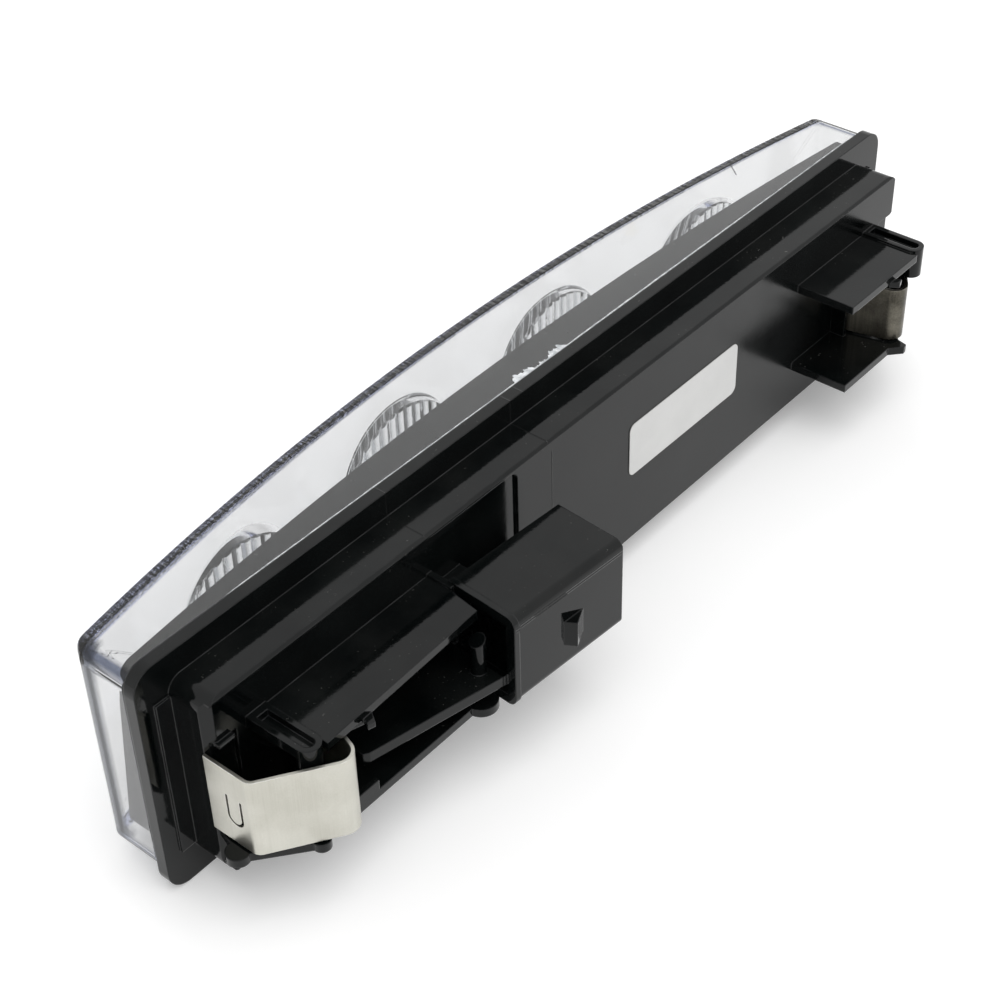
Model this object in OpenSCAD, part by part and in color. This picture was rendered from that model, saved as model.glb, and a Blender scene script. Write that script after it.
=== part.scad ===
// Daytime running light with a clear lens, a flanged rear housing, two spring clips and a plug socket.
// X runs along the lamp, the lens faces -Y, the housing's back faces +Y and Z is up.
// The origin is the middle of the plane in which the back of the flange meets the vehicle's panel.

/* [Flange] */
// Length of the flange along the lamp
flange_l = 220; // [216:1:240]
// Height of the flange
flange_h = 51; // [49:0.5:56]
// Thickness of the flange
flange_t = 2.6; // [2:0.1:4]
// Corner radius of the flange
flange_r = 4.5; // [2:0.5:7]

/* [Rear body] */
// How far each end of the box stands in from the flange's end
body_inset = 6.6; // [5:0.1:8]
// Height of the box behind the flange
body_h = 40.6; // [39:0.2:44]
// Depth of the box from the back of the flange
body_d = 8.9; // [8:0.1:14]
// Corner radius of the box
body_r = 3; // [1.5:0.5:6]
// Wall thickness of the housing
wall_t = 2; // [1.6:0.1:2.4]
// Chamfer on the back edges of the box
body_chamfer = 0.5; // [0.2:0.1:1]
// Depth of the shallow recess on the half with the socket
recess_d = 0.6; // [0.3:0.1:1]
// Distance from the middle to the recess's closed end
recess_x = 26.7; // [10:0.5:40]
// How far the hollow inside the box ends from the box's end
hollow_inset = 8; // [7.6:0.1:9]
// Height of the bead along the foot of the box
bead_h = 0.5; // [0.3:0.1:1]
// How far that bead runs past each end of the box
bead_l = 3.2; // [2:0.1:4]

/* [Lens] */
// How far each end of the lens stands in from the flange's end
lens_inset = 1; // [0.5:0.25:2]
// Height of the lens
lens_h = 45.6; // [44:0.2:47]
// How far the middle of the lens lies above the middle of the flange
lens_rise = 1.1; // [0:0.1:2]
// How far the middle of the lens stands in front of the flange
lens_depth = 23.2; // [21:0.2:28]
// Radius of the bowed lens front, seen from above
lens_bow_r = 566; // [540:2:900]
// Wall thickness of the lens
lens_t = 2.5; // [2:0.1:2.8]
// Radius of the lens's upright corners
lens_corner_r = 3; // [1.5:0.5:5]
// Radius of the lens's outline corners, seen from the front
lens_outline_r = 3; // [1:0.5:5]
// Thickness of the adhesive bead under the lens
seal_t = 0.6; // [0.4:0.1:1]

/* [Fluted optics] */
// Distance from each end of the lens to the middle of the outer optic
optic_inset = 38.35; // [37:0.05:43]
// Radius of each optic where it leaves the lens wall
optic_r = 16.3; // [14:0.1:17]
// Radius of the fluted face
flute_face_r = 13.9; // [12:0.1:14]
// How far the sloping edge of an optic stands in from the lens wall
optic_t = 2.4; // [1.5:0.1:3]
// Distance between neighbouring flutes
flute_pitch = 2.3; // [1.8:0.1:3.2]
// Radius of each half round flute
flute_r = 1.3; // [1.2:0.1:2]

/* [Front rim of the housing] */
// How far the upper edge of the rim stands in front of the flange, at the middle
rim_depth = 10.6; // [8:0.1:12]
// Radius of the bowed rim, seen from above
rim_bow_r = 977; // [800:1:1500]
// Forward lean of the rim's front edge
rim_lean = 7.4; // [3:0.1:9]
// Clearance between the rim and the lens
rim_clear = 0.35; // [0.3:0.05:0.8]

/* [Clip shrouds] */
// How far the shroud plates stand out of the back of the box
shroud_d = 13.5; // [12:0.1:16]
// Height of the upper face of the top plate above the middle
shroud_z = 10.8; // [10.4:0.1:12]
// Thickness of the shroud plates
plate_t = 1.8; // [1.4:0.1:2]
// Length of the far shroud's plates
far_shroud_l = 25.4; // [20:0.2:31]
// How far the outer end of the plates stands in from the box's end
plate_inset = 12.4; // [11.8:0.2:14.4]
// How far the near top plate's inner corner stands off the socket
plate_gap = 1; // [0.4:0.1:2]
// How much shallower the near top plate is at that corner
plate_taper = 1.4; // [0:0.1:2]
// Width of the rim that closes each top plate, along the lamp
rim_block_l = 4.6; // [4:0.1:5]
// Height of the rim above its plate
rim_block_rise = 0.5; // [0.3:0.1:1]
// Width of the slot in that rim
rim_slot_w = 2.4; // [1.6:0.1:2.8]
// Height of the rim's round end, measured down from its top
ear_h = 6.8; // [4:0.1:7.2]
// Height of the notch that each clip stands in
notch_h = 20.8; // [20:0.1:21.4]
// Length of that notch along the lamp
notch_l = 5.8; // [4:0.1:6.4]
// Depth of that notch
notch_d = 1.5; // [1:0.1:2]

/* [Spring clips] */
// Thickness of the clip strip
clip_t = 0.6; // [0.4:0.1:0.8]
// Width of the clip strip
clip_w = 17; // [15:0.5:17.2]
// Width of the far clip's strip, which stays below the rim's round end
far_clip_w = 12.6; // [10:0.1:12.8]
// How far the far clip is pressed in
far_press = 3.3; // [2.8:0.1:3.6]
// Inside radius of the clip's outer bend
clip_bend_r = 1.4; // [1:0.1:2]
// Inside radius of the clip's crest
clip_crest_r = 2.4; // [1.6:0.1:2.8]
// How far the outer bend lies behind the flange
clip_bend_y = 16.9; // [16.4:0.1:17.4]
// How far the clip's crest lies behind the flange
clip_crest_y = 27.2; // [26:0.1:28]
// How far the clip's crest stands in from the box's end
clip_crest_inset = 15; // [14:0.1:15.8]
// How far the inner end of the clip stands in from the box's end
clip_foot_inset = 21; // [20.4:0.1:22.4]
// Height of the ribs that hold the inner end of the clip
seat_h = 3.4; // [2:0.1:4]
// Thickness of those ribs
seat_t = 1; // [0.8:0.1:1.4]
// Width of the locking tongue in the near clip
tongue_w = 3.2; // [2.6:0.1:4]
// Length of the locking tongue
tongue_l = 4.6; // [3.6:0.1:7]
// Distance from the clip's end to the middle of the tongue
tongue_set = 6; // [5:0.1:6.4]

/* [Plug socket] */
// Distance from the middle to the closed end of the socket
socket_x = 51.4; // [49:0.2:54]
// Length of the socket
socket_l = 28.4; // [26:0.2:30]
// Depth of the socket, front wall to back wall
socket_d = 15.6; // [14:0.2:18]
// Height of the socket
socket_h = 20; // [18:0.2:21]
// Height of the socket's top above the middle
socket_z = 11.3; // [11:0.1:12.4]
// How far the closed end's back corner lies behind the flange
socket_y = 28.1; // [27:0.1:29]
// Angle by which the socket's mouth turns away from the box
socket_turn = 4; // [0:0.5:6]
// Wall thickness of the socket
socket_t = 1.8; // [1.4:0.1:2.2]
// Radius along the two back edges of the socket
socket_r = 1.7; // [1:0.1:1.8]
// How far the lip round the socket's closed end stands out
lip_rise = 0.3; // [0.2:0.1:0.6]
// Depth of the shallow hollow outside the socket's closed end
socket_hollow = 3.6; // [2:0.1:4]
// Distance from the outer end of the socket to its inner floor
socket_base = 8.8; // [8:0.1:10]
// Distance from the closed end of the socket to the locking ramp
ramp_u = 12.8; // [11:0.1:16]
// Length of the locking ramp
ramp_l = 5; // [4:0.1:6]
// Height of the locking ramp
ramp_h = 5.6; // [4:0.2:8]
// How far the locking ramp stands out
ramp_d = 2; // [1.2:0.1:2.4]
// Distance from the closed end of the socket to the roots of the contact blades
pin_inset = 6.3; // [5.6:0.1:6.8]
// Thickness of the contact blades
pin_t = 0.8; // [0.6:0.1:1]
// Width of the contact blades
pin_w = 2.4; // [2:0.1:3]
// Distance between the two contact blades
pin_pitch = 8; // [6:0.5:9]
// How far the contact blades stand in the socket
pin_reach = 9; // [7:0.5:12]

/* [Light engine] */
// How far each end of the circuit board stands in from the box's end
board_inset = 11.4; // [10.4:0.1:15.4]
// Height of the circuit board
board_h = 29; // [28:0.5:31]
// Thickness of the circuit board
board_t = 1.6; // [1:0.1:2]
// Thickness of the heat spreader plate
spreader_t = 2; // [1.5:0.1:2.4]
// Height of the bosses under the heat spreader
boss_h = 1.6; // [1:0.1:2]
// Side of each LED package
led_w = 5; // [3.5:0.1:5.4]
// Thickness of each LED package
led_t = 1; // [0.8:0.1:1.4]
// Radius of the dome on each LED
led_dome_r = 1.6; // [1:0.1:1.8]
// Radius of each reflector bowl's opening at the board
bowl_foot_r = 4.6; // [4.2:0.1:5]
// Radius of each reflector bowl's mouth
bowl_r = 15.4; // [14:0.1:15.6]
// Wall thickness of the reflector
reflector_t = 1.5; // [1.2:0.1:1.8]
// How far the reflector's face lies behind the rim's edge
reflector_set = 1.2; // [0.8:0.1:2]
// Distance between the board screws above and below the middle
screw_rows = 20; // [18:0.5:21]
// Radius of the screw shanks
screw_r = 1.4; // [1.2:0.1:1.6]
// Clear depth of the screw holes past the ends of the reflector screws
end_screw_clear = 1.2; // [0.8:0.1:2]
// Plastic left behind the reflector screws' holes
end_screw_floor = 1.5; // [1:0.1:2]
// Radius of the bosses round the screws
boss_r = 3; // [2.6:0.1:3.4]
// Distance from the board's end to the reflector screws
end_screw_gap = 4.6; // [4.2:0.1:5]

/* [Driver parts] */
// Length of the driver chip's package
chip_l = 6; // [4:0.2:7]
// Height of the driver chip's package
chip_h = 4; // [3:0.2:5]
// Thickness of the driver chip's package
chip_t = 1.6; // [1:0.1:2]
// Distance from the board's upper edge to the middle of the driver chip
chip_edge = 6.5; // [5:0.1:7]
// Distance between the chip's legs
leg_pitch = 1.4; // [1:0.1:1.5]
// Radius of the coil's end discs
coil_r = 4; // [3:0.1:4.4]
// Height of the coil
coil_t = 4.5; // [3.5:0.1:5]
// Radius of each capacitor can
can_r = 2.6; // [2:0.1:3]
// Height of each capacitor can
can_t = 5.6; // [4:0.1:6]
// Length of the diode
diode_l = 4.4; // [3:0.1:5]
// Height of the diode, seen from the front
diode_h = 2.6; // [1.6:0.1:3]
// Thickness of the diode
diode_t = 1.8; // [1:0.1:2.2]
// Distance from the outer optic's neighbour to the inner end of the diode
diode_gap = 13.1; // [12:0.1:16]
// Distance between neighbouring resistors
resistor_pitch = 3.6; // [2.6:0.1:4]
// Length of each resistor
resistor_l = 2; // [1.2:0.1:2.2]
// Height of each resistor, seen from the front
resistor_h = 1.2; // [0.8:0.1:1.4]
// Thickness of each resistor
resistor_t = 0.6; // [0.4:0.1:0.8]

/* [Label] */
// Length of the blank label
label_l = 36.4; // [30:0.2:40]
// Height of the blank label
label_h = 12.4; // [8:0.2:16]
// Thickness of the label
label_t = 0.2; // [0.1:0.05:0.3]
// Distance from the middle of the lamp to the middle of the label
label_x = 25.3; // [22:0.1:40]
// Height of the middle of the label
label_z = 2.6; // [0:0.1:6]

/* [Hidden] */

$fn = 48;
// Cuts run past the faces they open by this much
cut = 1;
// Gap round pieces that pass through or drop into one another
fit = 0.05;
// Facets on the very large circles of the bowed faces
bow_fn = 720;

flange_front = -flange_t;
body_l = flange_l - 2 * body_inset;
lens_half_l = flange_l / 2 - lens_inset;
optic_pitch = (lens_half_l - optic_inset) / 1.5;
plate_end_x = body_l / 2 - plate_inset;
far_shroud_x = plate_end_x - far_shroud_l;
clip_crest_x = body_l / 2 - clip_crest_inset;
clip_foot_x = body_l / 2 - clip_foot_inset;
board_l = body_l - 2 * board_inset;
lens_back = flange_front - seal_t;
lens_apex = flange_front - lens_depth;
lens_top = lens_rise + lens_h / 2;
lens_bottom = lens_rise - lens_h / 2;
inner_top = lens_top - lens_t;
inner_bottom = lens_bottom + lens_t;
rim_top = inner_top - rim_clear;
rim_bottom = inner_bottom + rim_clear;
rim_half_l = lens_half_l - lens_t - rim_clear;
rim_mid = (rim_top + rim_bottom) / 2;
cavity_bottom = rim_bottom + wall_t;
cavity_top = min(rim_top, body_h / 2) - wall_t;
cavity_half_l = body_l / 2 - hollow_inset;
floor_y = body_d - wall_t;
spreader_y = floor_y - boss_h - spreader_t;
board_y = spreader_y - board_t;
optic_xs = [for (i = [0:3]) (1.5 - i) * optic_pitch];
plate_back = body_d + shroud_d;
clip_half = clip_w / 2;
clip_start_y = body_d - notch_d - 0.5;
pin_x = socket_x - pin_inset;
pin_mid_z = socket_z - socket_h / 2;

// A flat rounded bar in the XZ plane, from y0 to y1
module bar_y(l, h, r, y0, y1) {
    translate([0, y1, 0]) rotate([90, 0, 0]) linear_extrude(y1 - y0) round_rect(l, h, r);
}

// A rectangle with round corners, centred
module round_rect(l, h, r) {
    square([l - 2 * r, h], center = true);
    square([l, h - 2 * r], center = true);
    for (x = [-1, 1], y = [-1, 1]) translate([x * (l / 2 - r), y * (h / 2 - r)]) circle(r);
}

// A plain block between two corners
module block(low, high) {
    translate(low) cube(high - low);
}

// A round post or hole along Y, from y0 to y1
module post_y(x, z, r, y0, y1) {
    translate([x, y1, z]) rotate([90, 0, 0]) cylinder(r = r, h = y1 - y0);
}

// A flat plate in the XY plane, from z0 to z1, whose outline is drawn by the child
module plate_z(z0, z1) {
    translate([0, 0, z0]) linear_extrude(z1 - z0) children();
}

// The space behind the bowed, leaning face of the rim
module behind_rim() {
    translate([0, flange_front - rim_depth, rim_top]) rotate([-rim_lean, 0, 0])
        translate([0, rim_bow_r, 0])
            cylinder(r = rim_bow_r, h = 4 * lens_h, center = true, $fn = bow_fn);
}

// The lens seen from above: an arc at the front, straight ends and round upright corners
module lens_plan(inset) {
    r = lens_bow_r - inset;
    half = lens_half_l - inset;
    arc_y = lens_apex + lens_bow_r;
    corner_r = max(lens_corner_r - inset, 0.4);
    corner_x = half - corner_r;
    corner_y = arc_y - sqrt(pow(r - corner_r, 2) - pow(corner_x, 2));
    tangent = r / (r - corner_r);
    difference() {
        intersection() {
            translate([0, arc_y]) circle(r, $fn = bow_fn);
            translate([-half, lens_apex - cut]) square([2 * half, lens_back - lens_apex + cut]);
        }
        for (side = [-1, 1]) difference() {
            polygon([[side * corner_x, corner_y], [side * (half + cut), corner_y],
                [side * (half + cut), lens_apex], [side * corner_x * tangent, lens_apex],
                [side * corner_x * tangent, arc_y - (arc_y - corner_y) * tangent]]);
            translate([side * corner_x, corner_y]) circle(corner_r);
        }
    }
}

// One fluted optic: a sloping edge and upright half round flutes on its inner face
module optic(x) {
    wall_y = lens_apex + lens_bow_r - sqrt(pow(lens_bow_r - lens_t, 2) - x * x);
    face_y = wall_y + optic_t;
    count = floor(flute_face_r / flute_pitch);
    translate([x, face_y, lens_rise]) rotate([90, 0, 0])
        cylinder(r1 = flute_face_r, r2 = optic_r, h = optic_t + lens_t / 2);
    intersection() {
        translate([x, 0, lens_rise - flute_face_r]) linear_extrude(2 * flute_face_r)
            for (i = [-count:count])
                translate([i * flute_pitch, face_y - flute_r / 3]) circle(flute_r, $fn = 24);
        post_y(x, lens_rise, flute_face_r, face_y - flute_r, face_y + flute_r);
    }
}

module outer_lens() {
    color([0.9, 0.93, 0.95, 0.45]) {
        difference() {
            intersection() {
                plate_z(lens_bottom, lens_top) lens_plan(0);
                translate([0, 0, lens_rise])
                    bar_y(2 * lens_half_l, lens_h, lens_outline_r, lens_apex - cut, 0);
            }
            intersection() {
                plate_z(inner_bottom, inner_top) lens_plan(lens_t);
                translate([0, 0, lens_rise]) bar_y(2 * (lens_half_l - lens_t), lens_h - 2 * lens_t,
                    lens_outline_r / 2, lens_apex - cut, 0);
            }
            block([-rim_half_l, lens_back - cut, inner_bottom + lens_outline_r],
                [rim_half_l, lens_back + cut, inner_top - lens_outline_r]);
        }
        for (x = optic_xs) optic(x);
    }
}

module lens_seal() {
    color([0.16, 0.17, 0.18]) translate([0, 0, lens_rise]) difference() {
        bar_y(2 * lens_half_l, lens_h, lens_outline_r, lens_back, flange_front);
        bar_y(2 * (lens_half_l - lens_t), lens_h - 2 * lens_t,
            lens_outline_r / 2, lens_back - cut, 0);
    }
}

// The box behind the flange, with a chamfer round its back
module rear_box() {
    c = body_chamfer;
    intersection() {
        bar_y(body_l, body_h, body_r, -cut, body_d);
        plate_z(-body_h, body_h) polygon([[-body_l / 2, -2 * cut], [body_l / 2, -2 * cut],
            [body_l / 2, body_d - c], [body_l / 2 - c, body_d], [c - body_l / 2, body_d],
            [-body_l / 2, body_d - c]]);
        translate([-body_l, 0, 0]) rotate([90, 0, 90]) linear_extrude(2 * body_l)
            polygon([[-2 * cut, -body_h / 2], [body_d - c, -body_h / 2], [body_d, c - body_h / 2],
                [body_d, body_h / 2 - c], [body_d - c, body_h / 2], [-2 * cut, body_h / 2]]);
    }
}

// The shallow recess that the near shroud and the socket stand in
module recess() {
    edge = body_h / 2 - 2 * body_chamfer;
    run = body_l / 2 - recess_x + 2 * cut;
    translate([recess_x + run / 2, 0, 0])
        bar_y(run, 2 * edge, 2, body_d - recess_d, body_d + cut);
    block([body_l / 2 - 2 * cut, body_d - recess_d, -edge], [body_l / 2 + cut, body_d + cut, edge]);
    plate_z(-edge, edge) polygon([[body_l / 2 - 1.8, body_d - recess_d + 0.1],
        [body_l / 2 + cut, body_d - recess_d + 0.1], [body_l / 2 + cut, body_d - recess_d - 2.6]]);
}

// The notch in the end of the box that a clip stands in, with rounded lips
module clip_notch() {
    lip_r = 1.5;
    low_y = body_d - notch_d;
    x = body_l / 2;
    block([x - notch_l, low_y, -notch_h / 2], [x + cut, body_d + cut, notch_h / 2]);
    notch_lip(x, low_y, lip_r);
    mirror([0, 0, 1]) notch_lip(x, low_y, lip_r);
}

// What is cut away to round the upper lip of a notch
module notch_lip(x, low_y, lip_r) {
    difference() {
        block([x - lip_r, low_y, notch_h / 2 - fit], [x + cut, body_d + cut, notch_h / 2 + lip_r]);
        post_y(x - lip_r, notch_h / 2 + lip_r, lip_r, low_y - cut, body_d + 2 * cut);
    }
}

// The rim in front of the flange, which the lens goes over
module front_rim() {
    intersection() {
        translate([0, 0, rim_mid])
            bar_y(2 * rim_half_l, rim_top - rim_bottom, 2, lens_apex, flange_front + cut);
        behind_rim();
    }
}

// The hollow that holds the reflector and the light engine
module hollow() {
    translate([0, 0, rim_mid]) bar_y(2 * (rim_half_l - wall_t), rim_top - rim_bottom - 2 * wall_t, 1,
        lens_apex - cut, flange_front);
    translate([0, 0, (cavity_top + cavity_bottom) / 2])
        bar_y(2 * cavity_half_l, cavity_top - cavity_bottom, 2, flange_front - cut, floor_y);
}

// Outline of the near bottom plate with its two rounded lobes under the clip
module lobed_outline(inner_x) {
    root = body_d - recess_d - cut;
    lobe_x = body_l / 2 + 1.6;
    crest_x = clip_crest_x + 6;
    polygon([[inner_x, root], [body_l / 2, root], [lobe_x, clip_bend_y - 4.6],
        [lobe_x + 1, clip_bend_y - 3], [crest_x + 1.2, plate_back], [inner_x, plate_back]]);
    translate([lobe_x, clip_bend_y - 3.6]) circle(2.2);
    translate([crest_x, plate_back - 0.2]) circle(1.7);
}

// Outline of the far bottom plate, with its slanting end and small fin
module finned_outline(inner_x) {
    root = body_d - recess_d - cut;
    polygon([[inner_x, root], [body_l / 2 - 2, root], [body_l / 2 - 3, body_d + 2.4],
        [plate_end_x - 3.8, plate_back], [plate_end_x - 4.4, plate_back + 2.3],
        [plate_end_x - 5.4, plate_back + 2.4], [plate_end_x - 8, plate_back], [inner_x, plate_back]]);
}

// The rim with a slot that ends a top plate, and its deeper round end
module rim_block() {
    high_z = shroud_z + rim_block_rise;
    mid_x = plate_end_x + rim_block_l / 2 - 0.2;
    round_y = plate_back - rim_block_l / 2;
    difference() {
        union() {
            plate_z(shroud_z - plate_t, high_z)
                translate([mid_x - rim_block_l / 2, body_d - recess_d - cut])
                    square([rim_block_l, round_y - body_d + recess_d + cut]);
            plate_z(high_z - ear_h, high_z) translate([mid_x, round_y]) circle(rim_block_l / 2);
        }
        plate_z(shroud_z - plate_t / 2, high_z + cut) {
            translate([mid_x - rim_slot_w / 2, body_d + 1]) square([rim_slot_w, round_y - body_d - 1]);
            translate([mid_x, round_y]) circle(rim_slot_w / 2);
        }
    }
}

// Two ribs on the back of the box that hold the inner end of a clip
module clip_seat() {
    lean = (clip_crest_x - clip_foot_x) / (clip_crest_y - body_d - 1);
    gap = clip_t / 2 + 0.3;
    for (x = [clip_foot_x - gap - seat_t, clip_foot_x + gap + seat_h * lean])
        block([x, body_d - recess_d - cut, -shroud_z], [x + seat_t, body_d + seat_h, shroud_z]);
}

// What both shrouds share: the top plate, the slotted rim, the clip seat and a tab under the plate's
// edge. The plate's inner end runs from inner_x at the box to corner at its back.
module shroud(inner_x, corner) {
    root = body_d - recess_d - cut;
    top_low = shroud_z - plate_t;
    hook_x = clip_crest_x - 6;
    plate_z(top_low, shroud_z)
        polygon([[inner_x, root], [plate_end_x, root], [plate_end_x, plate_back], corner]);
    rim_block();
    clip_seat();
    plate_z(top_low - 1, top_low + 0.2)
        polygon([[hook_x + 2.6, plate_back - 2.2], [hook_x + 2.6, plate_back - 1],
            [hook_x, plate_back - 0.2], [hook_x + 0.6, plate_back + 1.2], [hook_x - 0.8, plate_back + 1.6],
            [hook_x - 2, plate_back - 0.2], [hook_x - 2, plate_back - 2.2]]);
}

// The near shroud's bottom plate with the low rib on its edge, and the short ledge over the clip
module near_shroud_floor() {
    root = body_d - recess_d - cut;
    top_low = shroud_z - plate_t;
    plate_z(-shroud_z, -top_low) lobed_outline(socket_x - cut);
    block([clip_crest_x - 8, plate_back - 1, -top_low - 0.2],
        [clip_crest_x - 2.4, plate_back, 2.2 - top_low]);
    block([body_l / 2 - 4.8, root, shroud_z - 1],
        [body_l / 2 - 1.2, body_d - recess_d + 0.9, shroud_z - 0.2]);
}

module far_shroud_floor() {
    plate_z(-shroud_z, plate_t - shroud_z) finned_outline(far_shroud_x);
}

// Moves a child into the turned frame of the socket: X along the socket, Y towards its back face
module socket_place() {
    translate([socket_x, socket_y, 0]) rotate([0, 0, 180 - socket_turn]) mirror([0, 1, 0]) children();
}

// The socket's outer shape with round back edges, grown by a little, from u0 to u1 along the socket
module socket_shell(grow, u0, u1) {
    r = socket_r + grow;
    low = socket_z - socket_h - grow;
    high = socket_z + grow;
    translate([u0, 0, 0]) rotate([90, 0, 90]) linear_extrude(u1 - u0) {
        translate([-socket_d, low]) square([socket_d + grow - r, high - low]);
        translate([-socket_d, low + r]) square([socket_d + grow, high - low - 2 * r]);
        for (z = [low + r, high - r]) translate([grow - r, z]) circle(r);
    }
}

// What joins the socket to the box: a block that holds the contact blades and a thin web at the closed end
module socket_root() {
    block([pin_x - 2.6, body_d - recess_d - cut, pin_mid_z - pin_pitch / 2 - pin_w],
        [pin_x + 2.2, socket_y - socket_d + 4, pin_mid_z + pin_pitch / 2 + pin_w]);
    block([socket_x - 1.5, body_d - recess_d - cut, socket_z - socket_h + 0.6],
        [socket_x - 0.2, socket_y - socket_d + 1.5, socket_z - 0.1]);
}

// The hollow inside the socket and the shallow one outside its closed end
module socket_hollows() {
    for (u = [[-cut, socket_hollow], [socket_base, socket_l + cut]])
        block([u[0], socket_t - socket_d, socket_z - socket_h + socket_t],
            [u[1], -socket_t, socket_z - socket_t]);
}

// The ramp on the back face that a plug's latch snaps over
module locking_ramp() {
    mid_z = pin_mid_z - 1.5;
    plate_z(mid_z - ramp_h / 2, mid_z + ramp_h / 2)
        polygon([[ramp_u, -cut], [ramp_u, 0], [ramp_u + 0.7 * ramp_d, ramp_d], [ramp_u + ramp_l, 0],
            [ramp_u + ramp_l, -cut]]);
}

// The floor with the slanting back edge between the near clip and the socket, and its slant topped post
module slanted_floor() {
    top = -2;
    post_x = socket_x + 2.2;
    post_r = 1.5;
    post_h = 8.2;
    root = body_d - recess_d - cut;
    end_x = clip_foot_x - 2.4;
    plate_z(top - 2.2, top) polygon([[socket_x - cut, root], [end_x, root], [end_x + 1, plate_back - 2.8],
        [end_x, plate_back - 2.1], [socket_x - cut, socket_y - 1.4]]);
    difference() {
        translate([post_x, plate_back - 0.6, top - cut]) cylinder(r = post_r, h = post_h + cut);
        translate([post_x, plate_back - 0.6, top + post_h - 1]) rotate([0, 24, 0])
            translate([-5, -5, 0]) cube(10);
    }
}

// A contact blade seen from above, grown by extra all round
module pin_plan(extra) {
    w = pin_t + 2 * extra;
    turn_y = pin_turn_y();
    translate([pin_x - w / 2, board_y - 1]) square([w, turn_y - board_y + 1 + w / 2]);
    translate([pin_x, turn_y]) rotate([0, 0, 180 - socket_turn]) translate([-w / 2, -w / 2])
        square([pin_run() + w / 2, w]);
}

// Where the blade leaves the lamp's depth and turns into the socket
function pin_turn_y() = socket_y - socket_d / 2 / cos(socket_turn) + (socket_x - pin_x) * tan(socket_turn);
// How far the blade runs from its turn
function pin_run() = socket_base + pin_reach - (socket_x - pin_x) / cos(socket_turn);

module pin_blade(z, extra) {
    plate_z(z - pin_w / 2 - extra, z + pin_w / 2 + extra) pin_plan(extra);
}

module pin_holes() {
    for (side = [-1, 1]) pin_blade(pin_mid_z + side * pin_pitch / 2, fit);
}

module housing() {
    color([0.06, 0.06, 0.065]) difference() {
        union() {
            difference() {
                union() {
                    bar_y(flange_l, flange_h, flange_r, flange_front, 0);
                    rear_box();
                    front_rim();
                    foot_bead();
                }
                recess();
                clip_notch();
                mirror([1, 0, 0]) clip_notch();
            }
            shroud(socket_x - cut, [socket_x + plate_gap, plate_back - plate_taper]);
            near_shroud_floor();
            mirror([1, 0, 0]) {
                shroud(far_shroud_x, [far_shroud_x, plate_back]);
                far_shroud_floor();
            }
            slanted_floor();
            socket_root();
            socket_place() {
                socket_shell(0, 0, socket_l);
                socket_shell(lip_rise, 0, 1.3);
                locking_ramp();
            }
            translate([socket_x + 1.8, plate_back - 0.6, -shroud_z]) cylinder(r = 3.2, h = plate_t);
        }
        hollow_with_bosses();
        socket_place() socket_hollows();
        pin_holes();
    }
}

// The low bead at the foot of the box, which shows at its two ends
module foot_bead() {
    half_h = body_h / 2 - body_r;
    block([-body_l / 2 - bead_l, -cut, -half_h], [body_l / 2 + bead_l, bead_h, half_h]);
}

// The hollow, less the bosses that carry the heat spreader and the reflector
module hollow_with_bosses() {
    difference() {
        hollow();
        for (p = screw_places()) difference() {
            post_y(p[0], p[1], boss_r, spreader_y + spreader_t, floor_y + cut);
            post_y(p[0], p[1], screw_r + fit, 0, floor_y);
        }
        for (side = [-1, 1]) difference() {
            post_y(side * end_screw_x(), rim_mid, boss_r,
                reflector_seat_y() + reflector_t - 0.1, floor_y + cut);
            post_y(side * end_screw_x(), rim_mid, screw_r + fit, lens_apex, floor_y);
        }
    }
    for (side = [-1, 1])
        post_y(side * end_screw_x(), rim_mid, screw_r + fit, flange_front - cut, floor_y - end_screw_floor);
}

// Middles of the board screws, as X and Z
function screw_places() = [for (x = [-1, 1], z = [-1, 1]) [x * optic_pitch, rim_mid + z * screw_rows / 2]];
// Distance from the middle to the reflector's end screws
function end_screw_x() = board_l / 2 + end_screw_gap;

module reflector() {
    face_y = flange_front - rim_depth + reflector_set;
    color([0.86, 0.87, 0.88]) difference() {
        union() {
            difference() {
                reflector_block(face_y, flange_front);
                reflector_block(face_y + reflector_t, flange_front + cut);
            }
            intersection() {
                for (x = optic_xs) bowl(x, reflector_t);
                reflector_block(face_y, board_y);
            }
        }
        for (x = optic_xs) bowl(x, 0);
        for (side = [-1, 1]) {
            x = side * end_screw_x();
            post_y(x, rim_mid, screw_r + 4 * fit, lens_apex, 0);
            post_y(x, rim_mid, screw_r * 2.2, lens_apex, reflector_seat_y());
        }
    }
}

// A block with a bowed front face at y0 and a flat back at y1, a small gap inside the rim's wall
module reflector_block(y0, y1) {
    clear = 0.3;
    half = rim_half_l - wall_t - clear;
    plate_z(rim_bottom + wall_t + clear, rim_top - wall_t - clear) intersection() {
        translate([0, y0 + rim_bow_r]) circle(rim_bow_r, $fn = bow_fn);
        translate([-half, y0 - cut]) square([2 * half, y1 - y0 + cut]);
    }
}

// A bowl in three cone steps that opens forwards, grown by a wall thickness
module bowl(x, grow) {
    middle_r = bowl_foot_r + 0.55 * (bowl_r - bowl_foot_r);
    outer_r = bowl_foot_r + 0.9 * (bowl_r - bowl_foot_r);
    translate([x, board_y, rim_mid]) rotate([90, 0, 0]) rotate_extrude()
        polygon([[0, 0], [bowl_foot_r + grow, 0], [middle_r + grow, 4], [outer_r + grow, 9],
            [bowl_r + grow, lens_depth - 6], [0, lens_depth - 6]]);
}

// Depth of the flat seats under the reflector's screw heads
function reflector_seat_y() = flange_front - rim_depth + reflector_set + 0.4
    + rim_bow_r - sqrt(pow(rim_bow_r, 2) - pow(end_screw_x(), 2));

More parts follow.
